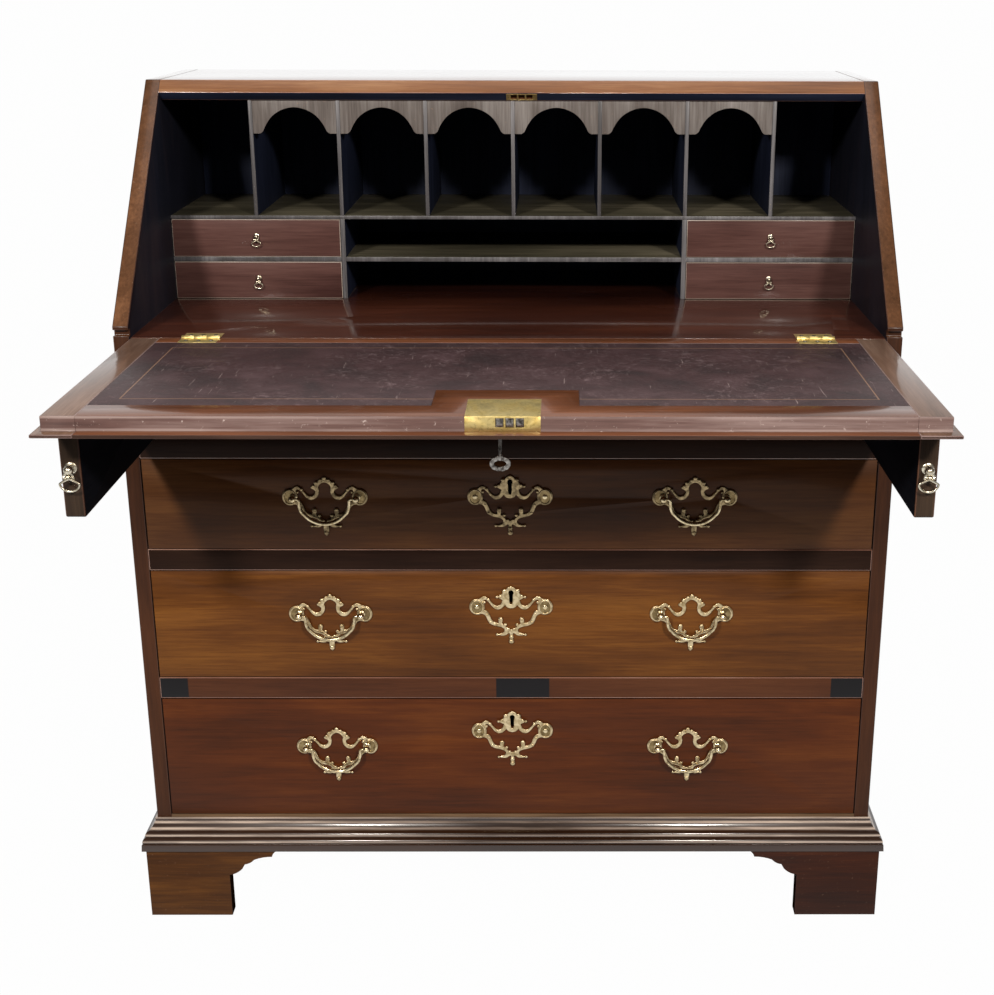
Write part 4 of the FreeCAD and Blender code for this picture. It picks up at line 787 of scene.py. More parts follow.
NODES: dict[str, Tree] = {}


def node_group(name: str, **wanted: str) -> tuple[Tree, dict[str, Socket]]:
    """An empty geometry node group with named inputs.

    Args:
        name: the group's name.
        wanted: the kind of each input by its name, after the geometry.

    Returns:
        The group and the sockets of its input node.
    """
    tree = bpy.data.node_groups.new(name, "GeometryNodeTree")
    for title, kind in (("Geometry", "Geometry"), *wanted.items()):
        tree.interface.new_socket(title, in_out="INPUT", socket_type=f"NodeSocket{kind}")
    tree.interface.new_socket("Geometry", in_out="OUTPUT",
                              socket_type="NodeSocketGeometry")
    return tree, tree.nodes.new("NodeGroupInput").outputs


def group_end(tree: Tree, form: Socket, finish: Socket) -> Tree:
    """Makes a group's form plain and gives it its finish.

    Args:
        tree: the node group.
        form: what it has made.
        finish: the finish's input.

    Returns:
        The whole group.
    """
    plain = add(tree, "GeometryNodeRealizeInstances", form).outputs[0]
    coated = add(tree, "GeometryNodeSetMaterial", Geometry=plain, Material=finish)
    add(tree, "NodeGroupOutput", coated.outputs[0])
    return tree


def wire_group() -> Tree:
    """Sweeps a round wire along a path, as thick at each point as its thick value.

    Returns:
        The node group.
    """
    tree, given = node_group("wire along a path", Sides="Int", Finish="Material")
    thick = add(tree, "GeometryNodeInputNamedAttribute", Name="thick", data_type="FLOAT")
    path = add(tree, "GeometryNodeMeshToCurve", Mesh=given["Geometry"])
    ring = add(tree, "GeometryNodeCurvePrimitiveCircle", Radius=1.0,
               Resolution=given["Sides"])
    swept = add(tree, "GeometryNodeCurveToMesh", Curve=path.outputs[0],
                Profile_Curve=ring.outputs[0], Scale=thick.outputs[0], Fill_Caps=True)
    smooth = add(tree, "GeometryNodeSetShadeSmooth", Geometry=swept.outputs[0])
    return group_end(tree, smooth.outputs[0], given["Finish"])


def stud_group() -> Tree:
    """Puts a stud or screw at each point, as large as its size value, each turned anew.

    Returns:
        The node group.
    """
    tree, given = node_group("studs at points", Stud="Object", Axis="Vector", Turn="Float",
                             Seed="Int", Finish="Material")
    size = add(tree, "GeometryNodeInputNamedAttribute", Name="size", data_type="FLOAT")
    stud = add(tree, "GeometryNodeObjectInfo", Object=given["Stud"])
    chance = add(tree, "FunctionNodeRandomValue", i2=0.0, i3=given["Turn"],
                 Seed=given["Seed"], data_type="FLOAT")
    turn = add(tree, "FunctionNodeAxisAngleToRotation", Axis=given["Axis"],
               Angle=chance.outputs[1])
    stood = add(tree, "GeometryNodeInstanceOnPoints", Points=given["Geometry"],
                Instance=stud.outputs["Geometry"], Rotation=turn.outputs[0],
                Scale=size.outputs[0])
    return group_end(tree, stood.outputs[0], given["Finish"])


def grown(points: list[Vector], edges: list[tuple[int, int]], value: str,
          values: list[float], tree: Tree, **inputs) -> Mesh:
    """Runs a node group on points that carry one value each.

    Args:
        points: where they are, in metres.
        edges: what joins them.
        value: the name of their value.
        values: the value of each point, in millimetres.
        tree: the node group.
        inputs: its other inputs by name.

    Returns:
        The plain mesh that it makes.
    """
    mesh = bpy.data.meshes.new("points")
    mesh.from_pydata(points, edges, [])
    sizes = mesh.attributes.new(value, "FLOAT", "POINT")
    sizes.data.foreach_set("value", [size * MM for size in values])
    holder = placed("points", mesh)
    modifier = holder.modifiers.new(tree.name, "NODES")
    modifier.node_group = tree
    for item in tree.interface.items_tree:
        if item.in_out == "INPUT" and item.name in inputs:
            modifier[item.identifier] = inputs[item.name]
    result = baked(holder).data
    bpy.data.objects.remove(holder)
    return result


def wire(points: list[Vector], radii_mm: list[float], finish: Material,
         closed: bool = False, sides: int = 14) -> tuple[Mesh, Material]:
    """A wire along points.

    Args:
        points: its path, in metres.
        radii_mm: its radius at each point.
        finish: its finish.
        closed: whether it ends where it starts.
        sides: faces round it.

    Returns:
        The mesh with its finish.
    """
    count = len(points)
    edges = [(i, i + 1) for i in range(count - 1)] + ([(count - 1, 0)] if closed else [])
    return grown(points, edges, "thick", radii_mm, NODES["wire"], Sides=sides,
                 Finish=finish), finish


def studs(places: list[tuple[Vector, float]], stud: Mesh, axis: Vector, finish: Material,
          seed: int = 3) -> tuple[Mesh, Material]:
    """Studs or screw heads, each turned its own way.

    Args:
        places: where they are, in metres, each with its radius in millimetres.
        stud: one of radius 1.
        axis: the way that they stand.
        finish: their finish.
        seed: starts the random turns.

    Returns:
        The mesh with its finish.
    """
    model = placed("stud", stud)
    mesh = grown([place for place, _ in places], [], "size",
                 [radius for _, radius in places], NODES["studs"], Stud=model,
                 Axis=tuple(axis), Turn=math.tau, Seed=seed, Finish=finish)
    bpy.data.objects.remove(model)
    return mesh, finish


def turned(profile: list[tuple[float, float]], place: Vector, axis: Vector,
           segments: int = 28, unit: float = MM) -> Mesh:
    """A turned form.

    Args:
        profile: radius and height at each step from its foot, in millimetres.
        place: where its foot's centre is, in metres.
        axis: the way that it stands.
        segments: faces round it.
        unit: metres for each number of the profile.

    Returns:
        The mesh.
    """
    stand = axis.to_track_quat("Z", "Y").to_matrix()
    points, faces = [], []
    for radius, height in profile:
        for step in range(segments):
            angle = math.tau * step / segments
            local = Vector((radius * math.cos(angle), radius * math.sin(angle), height))
            points.append(place + stand @ (local * unit))
    for ring in range(len(profile) - 1):
        for step in range(segments):
            following = (step + 1) % segments
            low, high = ring * segments, (ring + 1) * segments
            faces.append((low + step, low + following, high + following, high + step))
    faces.append(tuple(reversed(range(segments))))
    faces.append(tuple(range(len(points) - segments, len(points))))
    mesh = bpy.data.meshes.new("turned")
    mesh.from_pydata(points, [], faces)
    return mesh


def dome(height: float) -> list[tuple[float, float]]:
    """The profile of a dome of radius 1 and a height, almost closed at its top."""
    angles = [math.pi / 12 * step for step in range(7)]
    return [(max(math.cos(angle), 0.02), height * math.sin(angle)) for angle in angles]


def screw_head() -> Mesh:
    """A slotted screw head of radius 1: a rim, the slot's floor and two raised halves.

    Returns:
        The mesh, standing on the origin.
    """
    work = bmesh.new()
    slot, steps, low, high = 0.13, 14, 0.05, 0.24
    start = math.asin(slot)
    angles = [start + (math.pi - 2 * start) * step / steps for step in range(steps + 1)]
    for side in (1, -1):
        rim = [Vector((math.cos(angle), side * math.sin(angle), low)) for angle in angles]
        top = [Vector((point.x * 0.9, side * max(abs(point.y) * 0.9, slot), high))
               for point in rim]
        outer, inner = ([work.verts.new(point) for point in ring] for ring in (rim, top))
        for i in range(steps):
            work.faces.new((outer[i], outer[i + 1], inner[i + 1], inner[i]))
        work.faces.new(inner)
        work.faces.new((outer[0], inner[0], inner[-1], outer[-1]))
    turns = [math.tau * step / 24 for step in range(24)]
    work.faces.new([work.verts.new((math.cos(turn), math.sin(turn), low))
                    for turn in turns])
    bmesh.ops.recalc_face_normals(work, faces=work.faces)
    return finished("screw_head", work)


def front_loops(node: str, level: float) -> list[list[Vector]]:
    """The outlines of a solid's flat faces that look forward at one depth.

    Args:
        node: the solid's node.
        level: the faces' depth, in metres.

    Returns:
        Each outline and each hole as its corners in order.
    """
    work = merged(node)
    chosen = {face for face in work.faces if face.normal.y < -0.99
              and abs(face.calc_center_median().y - level) < 0.02 * MM}
    nexts: dict[int, list[int]] = {}
    for edge in work.edges:
        if sum(face in chosen for face in edge.link_faces) == 1:
            one, other = (vert.index for vert in edge.verts)
            nexts.setdefault(one, []).append(other)
            nexts.setdefault(other, []).append(one)
    work.verts.ensure_lookup_table()
    loops, left = [], set(nexts)
    while left:
        start = min(left)
        loop, here, before = [], start, -1
        while here in left:
            left.discard(here)
            loop.append(work.verts[here].co.copy())
            ahead = [there for there in nexts[here] if there != before]
            before, here = here, next((there for there in ahead if there in left), start)
        loops.append(loop)
    work.free()
    return loops


def rounded(loop: list[Vector]) -> list[Vector]:
    """Cuts an outline's corners twice, so that it bends smoothly.

    Args:
        loop: its corners.

    Returns:
        The new corners.
    """
    for _ in range(2):
        pairs = list(zip(loop, loop[1:] + loop[:1]))
        loop = [one.lerp(other, share) for one, other in pairs for share in (0.25, 0.75)]
    return loop


def cast_plate(loops: list[list[Vector]], back: float, thick_mm: float,
               round_mm: float, swell_mm: float) -> Mesh:
    """A pierced plate with softly rounded rims.

    Args:
        loops: its outline and holes.
        back: the depth of its back face, in metres.
        thick_mm: how thick it is.
        round_mm: how far its rims are rounded.
        swell_mm: how far its bars swell beyond their outline.

    Returns:
        The mesh.
    """
    curve = bpy.data.curves.new("plate", "CURVE")
    curve.dimensions = "2D"
    curve.fill_mode = "BOTH"
    curve.extrude = (thick_mm / 2 - round_mm) * MM
    curve.bevel_depth = round_mm * MM
    curve.offset = (swell_mm - round_mm) * MM
    curve.bevel_resolution = 3
    for loop in loops:
        spline = curve.splines.new("POLY")
        spline.points.add(len(loop) - 1)
        for point, place in zip(spline.points, loop):
            point.co = (place.x, place.z, 0, 1)
        spline.use_cyclic_u = True
    holder = placed("plate", curve)
    graph = bpy.context.evaluated_depsgraph_get()
    mesh = bpy.data.meshes.new_from_object(holder.evaluated_get(graph))
    bpy.data.objects.remove(holder)
    stand = Matrix(((1, 0, 0, 0), (0, 0, -1, back - thick_mm / 2 * MM), (0, 1, 0, 0),
                    (0, 0, 0, 1)))
    mesh.transform(stand)
    return mesh


def slanted(normal: Vector) -> bool:
    """Whether a face looks forward and up, as the slope under the closed fall does."""
    return normal.y < -0.3 and normal.z > 0.3


def front_face(centre: Vector, normal: Vector) -> int:
    """Slot 1 for faces that look forward, and 0 for the rest."""
    return 1 if normal.y < -0.5 else 0


# The setting

@dataclass(frozen=True)
class SoftBox:
    """A lamp behind a white cloth, aimed at a point."""

    name: str
    place: tuple[float, float, float]
    aim: tuple[float, float, float]
    size: tuple[float, float]
    watts: float
    tone: str = "FFF8F0"

    def build(self) -> None:
        """Hangs the lamp."""
        light = bpy.data.lights.new(self.name, "AREA")
        light.shape = "RECTANGLE"
        light.size, light.size_y = self.size
        light.energy = self.watts
        light.color = linear(self.tone)[:3]
        lamp = placed(self.name, light)
        lamp.location = self.place
        lamp.rotation_mode = "QUATERNION"
        aim = Vector(self.aim) - Vector(self.place)
        lamp.rotation_quaternion = aim.to_track_quat("-Z", "Y")


@dataclass
class Studio:
    """The camera, the lamps, the pale floor and the backdrop behind it."""

    eye: tuple[float, float, float] = (0.06273, -1.91777, 1.20890)
    pitch: float = 18.917
    yaw: float = -0.3625
    roll: float = 0.1635
    focal_pixels: float = 1573.08
    principal: tuple[float, float] = (569.84, 512.44)
    image: tuple[float, float] = (994.0, 995.0)
    sensor_mm: float = 36.0
    lamps: tuple[SoftBox, ...] = (
        SoftBox("front_left", (-1.3, -3.0, 2.55), (0.0, 0.0, 0.5), (0.34, 0.34), 84.0),
        SoftBox("front_right", (1.3, -3.0, 2.55), (0.0, 0.0, 0.5), (0.34, 0.34), 84.0),
        SoftBox("overhead", (0.0, 0.3, 2.9), (0.0, 0.1, 0.0), (1.8, 1.2), 26.0, "FFFFFF"))
    world_level: float = 0.10
    floor_tone: str = "A0A0A0"
    whiteness: float = 0.985
    floor_half: float = 5.0
    backdrop: float = 3.2
    backdrop_top: float = 4.2
    bend: float = 1.2
    bend_steps: int = 16

    def camera(self) -> None:
        """Sets the camera where the photograph was taken from."""
        yaw, pitch, roll = (math.radians(a) for a in (self.yaw, self.pitch, self.roll))
        right = Vector((math.cos(yaw), math.sin(yaw), 0))
        ahead = Vector((-math.sin(yaw), math.cos(yaw), 0))
        forward = ahead * math.cos(pitch) - UP * math.sin(pitch)
        up = ahead * math.sin(pitch) + UP * math.cos(pitch)
        matrix = Matrix((right * math.cos(roll) + up * math.sin(roll),
                         up * math.cos(roll) - right * math.sin(roll),
                         -forward)).transposed().to_4x4()
        matrix.translation = Vector(self.eye)
        camera = placed("camera", bpy.data.cameras.new("camera"))
        camera.matrix_world = matrix
        wide = max(self.image)
        camera.data.sensor_width = self.sensor_mm
        camera.data.lens = self.focal_pixels * self.sensor_mm / wide
        camera.data.shift_x = (self.image[0] / 2 - self.principal[0]) / wide
        camera.data.shift_y = (self.principal[1] - self.image[1] / 2) / wide
        bpy.context.scene.camera = camera

    def world(self) -> None:
        """An even, plain light from all round."""
        world = bpy.data.worlds.new("plain_world")
        world.use_nodes = True
        tree = world.node_tree
        fill(tree, tree.nodes["Background"], {"Color": linear("FFFFFF"),
                                              "Strength": self.world_level})
        bpy.context.scene.world = world

    def paper(self) -> Material:
        """Studio paper: dull grey to the lamps, white to the eye.

        Returns:
            The material.
        """
        material, tree, shader, _ = new_material("pale studio paper")
        fill(tree, shader, {"Base Color": linear(self.floor_tone), "Roughness": 0.9,
                            "Specular IOR Level": 0.0})
        path, seen = add(tree, "ShaderNodeLightPath").outputs, 0.0
        for ray in ("Is Camera Ray", "Is Glossy Ray", "Is Transmission Ray"):
            seen = add(tree, "ShaderNodeMath", path[ray], seen,
                       operation="MAXIMUM").outputs[0]
        share = add(tree, "ShaderNodeMath", seen, self.whiteness, operation="MULTIPLY")
        white = add(tree, "ShaderNodeEmission", Color=linear("FFFFFF"), Strength=1.0)
        mixed = add(tree, "ShaderNodeMixShader", share.outputs[0], shader.outputs[0],
                    white.outputs[0])
        fill(tree, tree.nodes["Material Output"], {"Surface": mixed.outputs[0]})
        return material

    def floor(self) -> None:
        """A pale floor that sweeps up into a backdrop behind the desk."""
        foot = self.backdrop - self.bend
        turns = [math.pi / 2 * step / self.bend_steps
                 for step in range(1, self.bend_steps + 1)]
        profile = [(-self.floor_half, 0.0), (foot, 0.0),
                   *((foot + self.bend * math.sin(turn),
                      self.bend - self.bend * math.cos(turn)) for turn in turns),
                   (self.backdrop, self.backdrop_top)]
        half = self.floor_half
        places = [(x, y, z) for y, z in profile for x in (-half, half)]
        mesh = bpy.data.meshes.new("floor_sweep")
        mesh.from_pydata(places, [], [(i, i + 1, i + 3, i + 2)
                                      for i in range(0, len(places) - 2, 2)])
        mesh.polygons.foreach_set("use_smooth", [True] * len(mesh.polygons))
        mesh.materials.append(self.paper())
        placed("floor_sweep", mesh)

    def build(self) -> None:
        """Builds the whole setting."""
        self.camera()
        for lamp in self.lamps:
            lamp.build()
        self.world()
        self.floor()
        bpy.context.scene.view_settings.view_transform = "Standard"


# Sub-assemblies

@dataclass
class Finishes:
    """Every finish of the desk, made once and shared."""

    made: dict[str, Material] = field(default_factory=dict)

    def keep(self, finish: Finish) -> Material:
        """Makes a finish the first time that it is asked for.

        Args:
            finish: the finish.

        Returns:
            Its material.
        """
        if finish.name not in self.made:
            self.made[finish.name] = finish.make()
        return self.made[finish.name]

    def of(self, entry: str, **changes) -> Material:
        """A finish from the table, changed for one board where it has changes."""
        return self.keep(replace(FINISHES[entry], **changes))


@dataclass
class DropPull:
    """A ball on a rose, with an eared collar that holds a fan-shaped drop.

    Its sizes are in millimetres, before its share.
    """

    finishes: Finishes
    knob: str
    drop: str
    joint: str
    share: float = 1.0
    rose: tuple = ((6.5, 0.0), (6.5, 0.5), (5.6, 1.3), (3.0, 1.6), (2.2, 2.6), (2.3, 4.2))
    ball: float = 5.0
    reach: float = 9.0
    ear: tuple = ((1.6, -1.7), (2.3, -1.0), (2.3, 1.0), (1.6, 1.7))
    ear_x: float = 4.4
    ear_drop: float = 7.4
    arm_top: tuple[float, float, float] = (3.0, -0.4, -3.2)
    arm: float = 1.9
    pin: float = 1.0
    barrel: tuple = ((1.7, -1.5), (2.1, -1.1), (2.1, 1.1), (1.7, 1.5))
    neck: tuple[float, float] = (0.9, -2.0)
    half: float = 11.5
    shoulder: float = 6.8
    depth: float = 16.7
    thick: float = 1.25

    def knob_parts(self, pin: Vector) -> list[tuple[Mesh, Material]]:
        """The rose, stem, ball, yoke, ears and pin.

        Args:
            pin: the middle of the drop's axis.

        Returns:
            Each part with its finish.
        """
        unit, brass = MM * self.share, self.finishes.of("pale rubbed brass")
        middle = pin + UP * self.ear_drop * unit
        ball = [(self.ball * math.cos(turn), self.reach + self.ball * math.sin(turn))
                for turn in (math.radians(step) for step in range(-60, 81, 14))]
        profile = [*self.rose, *ball, (0.2, self.reach + self.ball)]
        face = middle - FORWARD * self.reach * unit
        parts = [(turned(profile, face, FORWARD, 30, unit), brass)]
        for side in (-1, 1):
            place = pin + ACROSS * side * self.ear_x * unit
            parts.append((turned(self.ear, place, ACROSS, 20, unit), brass))
            across, inward, up = self.arm_top
            top = middle + Vector((side * across, inward, up)) * unit
            arm = [top, top.lerp(place, 0.5) + ACROSS * side * 0.5 * unit, place]
            parts.append(wire(arm, [self.arm * self.share] * 3, brass, sides=10))
        rod = [(self.pin, -self.ear_x), (self.pin, self.ear_x)]
        return [*parts, (turned(rod, pin, ACROSS, 14, unit), brass)]

    def drop_parts(self, pin: Vector) -> list[tuple[Mesh, Material]]:
        """The barrel and the wire that runs out to a bowed foot.

        Args:
            pin: the middle of the drop's axis.

        Returns:
            Each part with its finish.
        """
        unit, brass = MM * self.share, self.finishes.of("pale rubbed brass")
        half, bow = self.half - self.thick, self.depth - self.thick - self.shoulder
        foot = [(-half * math.cos(turn), -self.shoulder - bow * math.sin(turn))
                for turn in (math.pi * step / 16 for step in range(17))]
        across, down = self.neck
        loop = rounded([pin + Vector((x, 0, z)) * unit
                        for x, z in ((-across, down), *foot, (across, down))])
        return [wire(loop, [self.share * self.thick] * len(loop), brass, True, 12),
                (turned(self.barrel, pin, ACROSS, 20, unit), brass)]

    def build(self) -> None:
        """Builds both pieces."""
        pin = hinge_place(self.joint)
        gathered(self.knob_parts(pin), self.knob)
        gathered(self.drop_parts(pin), self.drop)


@dataclass(frozen=True)
class Relief:
    """The beads and lobes that stand up from a plate, in millimetres from its middle."""

    paired: tuple[tuple[float, float, float], ...]
    central: tuple[tuple[float, float], ...]


SCROLL_BEADS = ((13.5, -16.8, 2.4), (7.6, -24.3, 1.7), (3.8, -31.0, 1.9), (29.0, 9.8, 1.9),
                (34.0, 6.4, 1.5), (26.5, -21.0, 1.8), (30.8, -10.5, 1.6),
                (18.0, -38.0, 1.5))
HANDLE = Relief(((10.2, 18.5, 2.3), (5.0, 22.0, 1.9), (13.4, 14.4, 1.9), *SCROLL_BEADS),
                ((24.7, 2.3), (-36.0, 2.2), (-47.0, 2.6)))
KEYHOLE = Relief(((8.3, 21.7, 2.4), (13.4, 14.8, 1.9), (17.7, 13.6, 1.5), *SCROLL_BEADS),
                 ((26.3, 2.0), (-41.5, 2.5), (-47.6, 2.7)))


@dataclass
class DrawerBrasses:
    """One long drawer's pierced plates, posts, pins and bails.

    Its sizes are in millimetres, but for the middles of the plates.
    """

    finishes: Finishes
    drawer: str
    middles: tuple[float, ...] = (-0.23, 0.0, 0.23)
    plate: float = 1.6
    cast: float = 2.5
    rim: float = 1.2
    swell: float = 0.45
    bead_share: float = 1.2
    lobe_x: float = 43.4
    ring: tuple[float, float] = (7.6, 9.1)
    ring_wire: float = 1.15
    dish: tuple = ((6.8, 0.0), (6.8, 0.5), (0.2, 0.5))
    dish_share: float = 1.22
    post_x: float = 39.3
    post_foot: tuple = ((4.7, 0.0), (4.7, 1.5), (3.9, 2.2), (2.6, 2.7), (2.4, 3.8),
                        (3.0, 4.6))
    post_ball: float = 4.7
    reach: float = 9.5
    nut: tuple = ((5.0, 0.0), (5.0, 3.0))
    pin: float = 3.2
    pin_rise: float = 1.2
    bail_end: tuple = ((40.9, 0.0, 1.7), (36.0, 0.0, 1.7), (33.0, 0.0, 1.8),
                       (31.4, -1.0, 2.0), (31.0, -3.0, 2.0))
    bail_neck: tuple[float, float, float] = (9.0, -6.0, 22.0)
    bail_foot: tuple[float, float, float] = (0.0, 0.024, 32.11)
    bail_joined: float = math.radians(32)

    def cast_brass(self) -> Material:
        """The plates' brass, darker in the top row with painted shade."""
        state = "browned" if self.drawer == "top" else "aged"
        return self.finishes.of(f"{state} cast brass")

    def plates(self, loops: list[list[Vector]], level: float) -> list:
        """The three plates, with their corners bent smoothly and their rims rounded.

        Args:
            loops: the solids' outlines and holes.
            level: the depth of their faces, in metres.

        Returns:
            Each plate with its finish.
        """
        spans = [(min(p.x for p in loop), max(p.x for p in loop)) for loop in loops]
        parts = []
        for middle in self.middles:
            # Each plate with its holes, but not the posts' and pins' round ends
            mine = [rounded(loop) for loop, (low, high) in zip(loops, spans)
                    if abs((low + high) / 2 - middle) < 0.06 and high - low > 0.0062]
            parts.append((cast_plate(mine, level + self.plate * MM, self.cast, self.rim,
                                     self.swell), self.cast_brass()))
        return parts

    def raised(self, centre: Vector, relief: Relief) -> list[tuple[Mesh, Material]]:
        """The beads, lobes and rims that stand up from a plate.

        Args:
            centre: the plate's middle, on its solid's face.
            relief: where they are.

        Returns:
            Each part with its finish.
        """
        cast, lift = self.cast_brass(), self.cast - self.plate - 0.5
        places = [(side * x, z, size) for x, z, size in relief.paired for side in (-1, 1)]
        places += [(0.0, z, size) for z, size in relief.central]
        bead = turned(dome(0.62), Vector(), FORWARD, 16, 1.0)
        parts = [studs([(centre + Vector((x, -lift, z)) * MM, size * self.bead_share)
                        for x, z, size in places], bead, FORWARD, cast)]
        for side in (-1, 1):
            middle = centre + Vector((side * self.lobe_x, -lift - 0.4, 0)) * MM
            wide, high = self.ring
            loop = [middle + Vector((wide * math.cos(turn), 0, high * math.sin(turn))) * MM
                    for turn in (math.tau * step / 32 for step in range(32))]
            parts.append(wire(loop, [self.ring_wire] * len(loop), cast, True, 10))
            middle = centre + Vector((side * self.lobe_x, -lift - 0.05, 0)) * MM
            ground = turned(self.dish, Vector(), FORWARD, 24)
            ground.transform(Matrix.Translation(middle) @
                             Matrix.Diagonal((1, 1, self.dish_share, 1)))
            parts.append((ground, self.finishes.of("brown brass ground")))
        return parts

    def post(self, place: Vector, back: float) -> list[tuple[Mesh, Material]]:
        """A bail's post with its collar and ball, and the nut inside the drawer.

        Args:
            place: the middle of its foot.
            back: the depth of the nut's outer face, in metres.

        Returns:
            Each part with its finish.
        """
        ball = [(self.post_ball * math.cos(turn),
                 self.reach + self.post_ball * math.sin(turn))
                for turn in (math.radians(step) for step in range(-55, 78, 12))]
        profile = [*self.post_foot, *ball, (0.9, self.reach + self.post_ball + 0.05),
                   (0.2, self.reach + self.post_ball + 0.2)]
        foot = Vector((place.x, back - self.nut[-1][1] * MM, place.z))
        return [(turned(profile, place, FORWARD), self.finishes.of("hand worn brass")),
                (turned(self.nut, foot, -FORWARD, 6), self.finishes.of("aged cast brass"))]

    def bail(self, side: str) -> None:
        """A swan-necked bail: thin at its ends, stout at its foot.

        Args:
            side: which of the drawer's two.
        """
        path, joined = list(self.bail_end), self.bail_joined
        bends = ((self.bail_neck, [(joined * step / 4, 2.0 + 0.12 * step)
                                   for step in range(5)]),
                 (self.bail_foot, [(joined + (math.pi / 2 - joined) * step / 8,
                                    2.5 + 0.05 * step) for step in range(1, 9)]))
        for (across, up, radius), steps in bends:
            path += [(across + radius * math.cos(turn), up - radius * math.sin(turn), thick)
                     for turn, thick in steps]
        path += [(-x, z, thick) for x, z, thick in path[-2::-1]]
        axis = hinge_place(f"{self.drawer}_bail_swing_{side}")
        gathered([wire([axis + Vector((x, 0, z)) * MM for x, z, _ in path],
                       [thick for _, _, thick in path],
                       self.finishes.of("hand worn brass"))], f"{self.drawer}_bail_{side}")

    def keyhole(self, loops: list[list[Vector]], level: float) -> list:
        """The keyhole plate's relief and its two domed pins.

        Args:
            loops: the solids' outlines and holes.
            level: the depth of their faces, in metres.

        Returns:
            Each part with its finish.
        """
        middle = [loop for loop in loops if abs(sum(p.x for p in loop) / len(loop)) < 0.03]
        outer = max(middle, key=lambda loop: (max(p.x for p in loop)
                                              - min(p.x for p in loop)))
        widest = max(point.x for point in outer)
        # Its middle is at the height of its widest points
        heights = [point.z for point in outer if point.x > widest - 0.0004]
        centre = Vector((0, level, sum(heights) / len(heights)))
        parts = self.raised(centre, KEYHOLE)
        profile = [(self.pin, 0.0), *((self.pin * radius, self.pin_rise + self.pin * height)
                                      for radius, height in dome(0.42))]
        for way in (-1, 1):
            place = centre + ACROSS * way * self.lobe_x * MM
            parts.append((turned(profile, place, FORWARD, 22),
                          self.finishes.of("hand worn brass")))
        return parts

    def build(self) -> None:
        """Builds the brasses in one piece and each bail as its own."""
        node = f"{self.drawer}_drawer_brasses"
        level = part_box(f"{self.drawer}_drawer_front")[0].y - self.plate * MM
        loops, back = front_loops(node, level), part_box(node)[1].y
        parts = self.plates(loops, level)
        for side in ("left", "right"):
            axis = hinge_place(f"{self.drawer}_bail_swing_{side}")
            centre = Vector((axis.x, level, axis.z))
            parts += self.raised(centre, HANDLE)
            for way in (-1, 1):
                parts += self.post(centre + ACROSS * way * self.post_x * MM, back)
            self.bail(side)
        gathered(parts + self.keyhole(loops, level), node)


